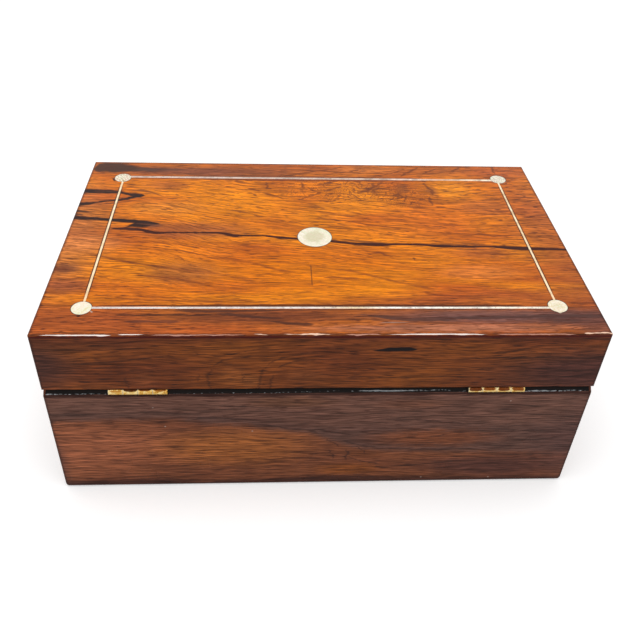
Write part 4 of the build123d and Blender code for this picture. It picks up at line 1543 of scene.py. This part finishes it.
        return (
            *(Streak(path, rag=1.4, **tone) for path in strokes),
            *(Streak(path, rag=1.6, steep=True, **tone) for path in squiggles),
            Streak(((50, 30, 0), (56, 29.2, 0.8), (62, 29.6, 0)), "#4A2A1A", 0.7),
            Streak(((38, 23.4, 0), (46, 23.2, 0.7), (56, 23.6, 0)), "#5A2418", 0.7),
            *(Pool(spot, (0.6, 0.6), "#B9A498", 0.7, 0.0) for spot in dust),
            Streak(((0, 64.4, 0.7), (254, 64.4, 0.7)), "#2A1412", 0.8, 0.2, 0.8),
        )

    def front_patches(self) -> tuple[Mark, ...]:
        """Gives the soft changes of tone on the lock side.

        Returns:
            The patches, from the lowest up.
        """
        return (
            Pool((70, 40), (80, 26), "#A05C30", 0.5),
            Tide(((0, 30), (60, 34), (140, 24), (254, 18)), "#4E322C", 4, 0.6, above=False),
            Pool((210, 84), (60, 14), "#5A362E", 0.6),
        )

    def front_marks(self) -> tuple[Mark, ...]:
        """Gives the figure of the lock side.

        Returns:
            The lines.
        """
        paths = (
            ((0, 58, 1), (40, 56, 0.9), (84, 50, 1.1), (128, 42, 1.3), (176, 36, 1), (254, 33, 0.7)),
            ((0, 51, 0.7), (50, 49, 0.6), (96, 42, 0.8), (140, 34, 1), (196, 28, 0.8), (254, 25, 0)),
            ((30, 82, 0), (76, 84, 0.8), (130, 88, 1.1), (190, 86, 0.7), (254, 90, 0.8)),
            ((0, 20, 0.8), (70, 18, 0.9), (150, 12, 0.8), (254, 9, 0.6)),
        )
        return tuple(Streak(path, "#2A1713", 0.9, 1.1) for path in paths)

    def end_patches(self) -> tuple[Mark, ...]:
        """Gives the soft changes of tone on the ends.

        Returns:
            The patches, from the lowest up.
        """
        return (
            Pool((60, 34), (60, 22), "#A05C30", 0.5),
            Tide(((-80, 52), (-20, 50), (40, 44), (80, 38)), "#573A34", 4, 0.6),
        )

    def end_marks(self) -> tuple[Mark, ...]:
        """Gives the figure of the ends.

        Returns:
            The lines.
        """
        paths = (
            ((0, 50, 1), (50, 47, 0.9), (100, 40, 1), (152, 36, 0.8)),
            ((0, 88, 0.7), (60, 86, 0.8), (110, 82, 1), (152, 80, 0.7)),
            ((0, 24, 0.8), (70, 20, 0.8), (152, 14, 0.7)),
        )
        return tuple(Streak(path, "#2A1713", 0.9, 1.1) for path in paths)


@dataclass
class Carcass:
    """The mitred boards under the veneer, stained black where they show."""

    flat_boards: tuple[str, ...] = ("bottom_board", "lid_top_board")

    def build(self) -> None:
        """Dresses the boards and the cloth under the box."""
        ebony = EbonisedMahogany().material()
        bevel = BevelWithPaintedGloss().material()
        for side in SIDES:
            dress(cad(f"base_{side}_board"), bevel if side == "back" else ebony)
            dress(cad(f"lid_{side}_rail"), ebony)
        for node in self.flat_boards:
            dress(cad(node), ebony)
        dress(cad("underside_baize"), WoolBaize().material())


@dataclass
class Inlay:
    """The shell discs and the strings let into the lid."""

    shells: tuple[tuple[str, str, str, float, float], ...] = (  # node, pale, shade, turn, heart
        ("centre_disc", "#FFFCF0", "#E0D8B6", 0.6, 0.62),
        ("back_right_disc", "#FFFEF4", "#E6D6A8", 2.1, 0.0),
        ("back_left_disc", "#FFFBE8", "#E0CC96", 0.2, 0.2),
        ("front_right_disc", "#E4C08A", "#B08A54", 1.2, 0.0),
        ("front_left_disc", "#DDD4C0", "#A89C84", 2.7, 0.0),
    )
    # The near-white tones on these two strings are painted highlights where they catch the light; the greyer
    # ones are their own tone.
    far_tones: tuple[tuple[float, str], ...] = (
        (0, "#DCC8BA"), (254, "#EFD8C0"), (60, "#DCC8BC"), (150, "#DCC8BA"), (185, "#F4DCCB"),
        (200, "#E2B898"), (228, "#FFF2DA"),
    )
    near_tones: tuple[tuple[float, str], ...] = (
        (0, "#D6CCC6"), (254, "#FFF3D8"), (60, "#E6DED8"), (120, "#EEE4DC"), (142, "#EFD6A8"),
        (156, "#FFFBF2"),
    )
    end_tones: tuple[tuple[float, str], ...] = ((0, "#F8D8B4"), (254, "#FFF0CC"), (90, "#FFE8C0"))
    end_specked: float = 0.25

    def build(self) -> None:
        """Dresses the discs and the strings."""
        for node, pale, shade, turn, heart in self.shells:
            low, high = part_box(node)
            middle = (low + high) / 2 / MM
            radius = (high.x - low.x) / 2 / MM
            finish = MotherOfPearl(f"shell_{node}", (middle.x, middle.y), radius, pale, shade, turn, heart)
            dress(cad(node), finish.material())
        dress(cad("front_string"), WhiteMetalString("white_metal_far_string", self.far_tones).material())
        near = WhiteMetalString("white_metal_near_string", self.near_tones, dull="#B4A8A2")
        dress(cad("back_string"), near.material())
        for side, dull in (("left", "#D2A870"), ("right", "#DCBC88")):
            name = f"white_metal_{side}_string"
            end = WhiteMetalString(name, self.end_tones, 1, dull, specked=self.end_specked)
            dress(cad(f"{side}_string"), end.material())


@dataclass
class Brasses:
    """The butt hinges, the lock, the link plate and every screw."""

    castings: tuple[str, ...] = ("lock_plate", "lock_cap", "link_plate", "keyhole_escutcheon", "lock_bolt")
    screws: tuple[str, ...] = ("lock_screws", "link_screws", "base_hinge_screws", "lid_hinge_screws")
    steels: tuple[str, ...] = ("bolt_spring", "lock_key_pin")
    # Each knuckle's hinge, number, height of its patch of painted shade (the dark bevel under the lid
    # reflected in the brass), its half width and its tone.
    knuckle_painted_shades: tuple[tuple[str, int, float, float, str], ...] = (
        ("right", 0, 67.5, 0.35, "#B27A34"),
        ("right", 1, 68.1, 0.8, "#43170C"),
        ("right", 2, 68.2, 0.6, "#6A3214"),
        ("right", 3, 67.9, 0.6, "#8E521C"),
        ("left", 0, 67.5, 1.0, "#5A1E0E"),
        ("left", 1, 67.6, 0.85, "#7A3A16"),
        ("left", 2, 67.5, 1.0, "#64280F"),
        ("left", 3, 67.5, 0.9, "#7C3C14"),
    )
    knuckles: int = 4  # what a hinge's length is shared among

    def build(self) -> None:
        """Dresses the metal pieces."""
        hinge = WornBrass(
            "worn_hinge_brass", "#FBE2A0", "#D9A648", "#8A5220", 0.35, 0.24, 2.0, self.painted_knuckle_shade_and_highlights()
        ).material()
        lock = WornBrass("cast_lock_brass", "#D9B062", "#A67C3A", "#6A4A22", 0.4, 0.28, 8.0).material()
        screws = WornBrass("turned_screw_brass", "#D2A552", "#9A6E30", "#4E3218", 0.5, 0.3, 3.0).material()
        steel = CutSteel().material()
        for side in ("left", "right"):
            dress(cad(f"{side}_hinge_base_leaf"), hinge)
            dress(cad(f"{side}_hinge_lid_leaf"), hinge)
            dress(cad(f"{side}_hinge_pin"), steel)
        for nodes, metal in ((self.castings, lock), (self.screws, screws), (self.steels, steel)):
            for node in nodes:
                dress(cad(node), metal)

    def painted_knuckle_shade_and_highlights(self) -> tuple[Mark, ...]:
        """Gives a patch of painted shade on each knuckle, where the brass reflects the dark bevel under the
        lid, and a painted highlight along its end.

        Returns:
            The marks.
        """
        starts = {side: box_of(f"{side}_hinge_pin")[0][0] for side in ("left", "right")}
        knuckle = (box_of("left_hinge_pin")[1][0] - starts["left"]) / self.knuckles
        marks: list[Mark] = []
        for side, number, level, half, tone in self.knuckle_painted_shades:
            low = starts[side] + number * knuckle
            high = low + knuckle
            spots = ((low + 0.3, 0), (low + 1.1, half), (high - 1.1, half), (high - 0.3, 0))
            # Painted shade: the brass's dark reflection of the bevel under the lid.
            marks.append(Streak(tuple((x, level, width) for x, width in spots), tone, 0.95, 0.3, 0.3))
            # Painted highlight along the knuckle's end.
            marks.append(Scratch(low, (63.0, 70.6), 0.35, "#FFF4D0", 0.6))
        return tuple(marks)


@dataclass
class Cushion:
    """A padded panel: cloth drawn over wadding on a flat board."""

    node: str
    body: str
    face: int  # 1 where its soft side is up, -1 where it is down
    fill: float
    finish: str  # its cloth's name
    inset: float = 0.7  # how much smaller it is cut than its place, on each side
    low_share: float = 0.72  # its height before it swells, as a share of its place
    corner: float = 3.0  # its corners' radius
    voxel: float = 1.9  # of its even mesh
    pressure: float = 4.0
    frames: int = 20  # of the swelling
    swell: float = 1.6  # the furthest a point of the cloth moves
    over: float = 0.35  # how far its crown stands over the plain pad

    def build(self, material: bpy.types.Material) -> None:
        """Makes the cushion in place of its plain pad.

        Args:
            material: Its cloth.
        """
        low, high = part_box(self.node)
        shape = bmesh.new()
        height = (high.z - low.z) * self.low_share
        size = (high.x - low.x - 2 * self.inset * MM, high.y - low.y - 2 * self.inset * MM, height)
        board = low.z if self.face > 0 else high.z
        middle = Vector(((low.x + high.x) / 2, (low.y + high.y) / 2, board + self.face * height / 2))
        place = Matrix.Translation(middle) @ Matrix.Diagonal((*size, 1.0))
        bmesh.ops.create_cube(shape, size=1.0, matrix=place)
        corners = [edge for edge in shape.edges if abs(edge.verts[0].co.z - edge.verts[1].co.z) > height / 2]
        bmesh.ops.bevel(shape, geom=corners, offset=self.corner * MM, **ROUNDED)
        piece = new_piece(f"{self.node}_cushion", shape)
        remesh = piece.modifiers.new("even_mesh", "REMESH")
        remesh.mode = "VOXEL"
        remesh.voxel_size = self.voxel * MM
        self.keep_modified(piece)
        self.inflate(piece, low, high)
        for polygon in piece.data.polygons:
            polygon.use_smooth = True
        smooth = piece.modifiers.new("smooth_cloth", "SUBSURF")
        smooth.levels = smooth.render_levels = 1
        dress(piece, material)
        hand_in(piece, self.body, self.node, self.finish)

    def keep_modified(self, piece: bpy.types.Object) -> None:
        """Applies a piece's modifiers.

        Args:
            piece: The piece; its mesh becomes what the modifiers make of it.
        """
        made = bpy.data.meshes.new_from_object(piece.evaluated_get(bpy.context.evaluated_depsgraph_get()))
        piece.modifiers.clear()
        piece.data = made

    def inflate(self, piece: bpy.types.Object, low: Vector, high: Vector) -> None:
        """Blows the cloth up a little and keeps it within its place.

        Args:
            piece: The even mesh.
            low: The low corner of the plain pad.
            high: Its high corner.
        """
        start = [vertex.co.copy() for vertex in piece.data.vertices]
        cloth = piece.modifiers.new("cloth", "CLOTH")
        cloth.settings.quality = 6
        cloth.settings.use_pressure = True
        cloth.settings.uniform_pressure_force = self.pressure
        cloth.settings.effector_weights.gravity = 0.0
        scene = bpy.context.scene
        for number in range(1, self.frames + 1):
            scene.frame_set(number)
        self.keep_modified(piece)
        scene.frame_set(1)
        reach = self.swell * MM
        floor, roof = low.z, high.z
        if self.face > 0:
            roof += self.over * MM
        else:
            floor -= self.over * MM
        for vertex, old in zip(piece.data.vertices, start):
            move = vertex.co - old
            if move.length > reach:
                move *= reach / move.length
            spot = old + move
            limits = ((low.x, high.x), (low.y, high.y), (floor, roof))
            vertex.co = [min(max(value, least), most) for value, (least, most) in zip(spot, limits)]


@dataclass
class Linings:
    """The velvet cards and the two pads."""

    roll: float = 0.6  # the velvet's turn over a card's edge
    weld: float = 0.01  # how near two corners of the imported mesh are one
    near: float = 0.05  # how near an edge is to the card's end
    flat: float = 0.02  # the turn, in radians, at which two facets are one face
    crease: float = 0.9  # the turn that stays sharp

    def build(self) -> None:
        """Dresses the linings and builds the pads."""
        velvet = SilkVelvet().material()
        silk = WatchedSilk().material()
        for side in SIDES:
            self.roll_edge(f"base_{side}_lining", "base", 1, velvet)
            self.roll_edge(f"lid_{side}_lining", "lid", -1, velvet)
        Cushion("floor_pad", "base", 1, 0.45, "velvet_pad").build(velvet)
        Cushion("lid_pad", "lid", -1, 0.6, "silk_pad", over=0.45).build(silk)

    def roll_edge(self, node: str, body: str, face: int, velvet: bpy.types.Material) -> None:
        """Makes a lining card whose velvet is turned over its open edge.

        Args:
            node: The plain card.
            body: What it rides on.
            face: 1 where its open edge is its upper one, -1 where it is its lower one.
            velvet: Its cloth.
        """
        low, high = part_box(node)
        level = high.z if face > 0 else low.z
        near = self.near * MM
        shape = bmesh.new()
        shape.from_mesh(cad(node).data)
        bmesh.ops.remove_doubles(shape, verts=shape.verts[:], dist=self.weld * MM)
        bmesh.ops.dissolve_limit(shape, angle_limit=self.flat, verts=shape.verts[:], edges=shape.edges[:])
        rim = [edge for edge in shape.edges if all(abs(vert.co.z - level) < near for vert in edge.verts)]
        bmesh.ops.bevel(shape, geom=rim, offset=self.roll * MM, **ROUNDED)
        piece = new_piece(f"{node}_velvet", shape)
        for polygon in piece.data.polygons:
            polygon.use_smooth = True
        piece.data.set_sharp_from_angle(angle=self.crease)
        dress(piece, velvet)
        hand_in(piece, body, node, "velvet_lining")


@dataclass
class Studio:
    """A plain pale floor, a soft overhead light and the camera."""

    focal: float = 41.585
    sensor: float = 36.0
    eye: Triple = (24.08, 314.3, 314.09)
    right: Triple = (-0.998187, 0.046476, 0.038239)
    up: Triple = (0.002322, -0.605153, 0.796106)
    shift: Point = (0.0063, -0.0677)
    nearest: float = 10.0  # the nearest that the camera sees
    floor_half: float = 4000.0
    floor_tone: str = "#EDEDED"
    glow_reach: Point = (0.3, 1.4)  # metres from the middle
    glow: Point = (0.32, 0.58)
    sky: float = 0.55
    lamp_power: float = 9.0  # watts
    lamp_size: Point = (1200.0, 900.0)
    lamp_place: Triple = (100.0, 150.0, 1200.0)

    def build(self) -> None:
        """Sets up the floor, the light and the camera."""
        self.make_floor()
        self.make_light()
        self.make_camera()

    def make_floor(self) -> None:
        """Lays a pale floor that keeps the object's shadow."""
        shape = bmesh.new()
        bmesh.ops.create_grid(shape, x_segments=1, y_segments=1, size=self.floor_half * MM)
        floor = new_piece("studio_floor", shape)
        recipe = Recipe(bpy.data.materials.new("pale_studio_floor"))
        seen = recipe.add("LightPath", out="Is Camera Ray")
        matt = recipe.add("BsdfDiffuse", paint(self.floor_tone))
        # The lamp's light falls off, so the floor glows a little more the farther off it is.
        away = recipe.add("VectorMath", recipe.add("TexCoord", out="Object"), operation="LENGTH", out="Value")
        glow = recipe.add("MapRange", away, *self.glow_reach, *self.glow)
        lift = recipe.add("Emission", WHITE, glow)
        both = recipe.add("AddShader", matt, lift)
        dress(floor, recipe.finish(recipe.add("MixShader", seen, matt, both)))

    def make_light(self) -> None:
        """Hangs one large soft lamp overhead in an even room."""
        world = bpy.data.worlds.new("soft_studio")
        bpy.context.scene.world = world
        recipe = Recipe(world)
        seen: Socket | float = 0.0
        for ray in ("Is Camera Ray", "Is Glossy Ray", "Is Transmission Ray"):
            seen = recipe.add("Math", recipe.add("LightPath", out=ray), seen, operation="MAXIMUM")
        level = recipe.add("MapRange", seen, 0.0, 1.0, self.sky, 1.0)
        recipe.add("OutputWorld", recipe.add("Background", WHITE, level))
        lamp_data = bpy.data.lights.new("overhead_softbox", "AREA")
        lamp_data.shape = "RECTANGLE"
        lamp_data.size, lamp_data.size_y = (side * MM for side in self.lamp_size)
        lamp_data.energy = self.lamp_power
        lamp = bpy.data.objects.new("overhead_softbox", lamp_data)
        lamp.location = Vector(self.lamp_place) * MM
        bpy.context.scene.collection.objects.link(lamp)

    def make_camera(self) -> None:
        """Places the camera by its eye point and its right and up directions."""
        data = bpy.data.cameras.new("camera")
        data.sensor_width = self.sensor
        data.lens = self.focal
        data.shift_x, data.shift_y = self.shift
        data.clip_start = self.nearest * MM
        camera = bpy.data.objects.new("camera", data)
        right, up = Vector(self.right), Vector(self.up)
        back = right.cross(up)
        turn = Matrix((right, up, back)).transposed().to_4x4()
        camera.matrix_world = Matrix.Translation(Vector(self.eye) * MM) @ turn
        bpy.context.scene.collection.objects.link(camera)
        bpy.context.scene.camera = camera


def main() -> None:
    """Builds and dresses the box, then the studio."""
    logging.basicConfig(level=logging.INFO, format="%(name)s: %(message)s")
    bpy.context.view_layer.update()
    for assembly in (LidTop(), Sides(), Carcass(), Inlay(), Brasses(), Linings(), Studio()):
        assembly.build()
        LOG.info("%s ready", type(assembly).__name__)
    bpy.context.scene.view_settings.view_transform = "Standard"


if __name__ == "__main__":
    main()
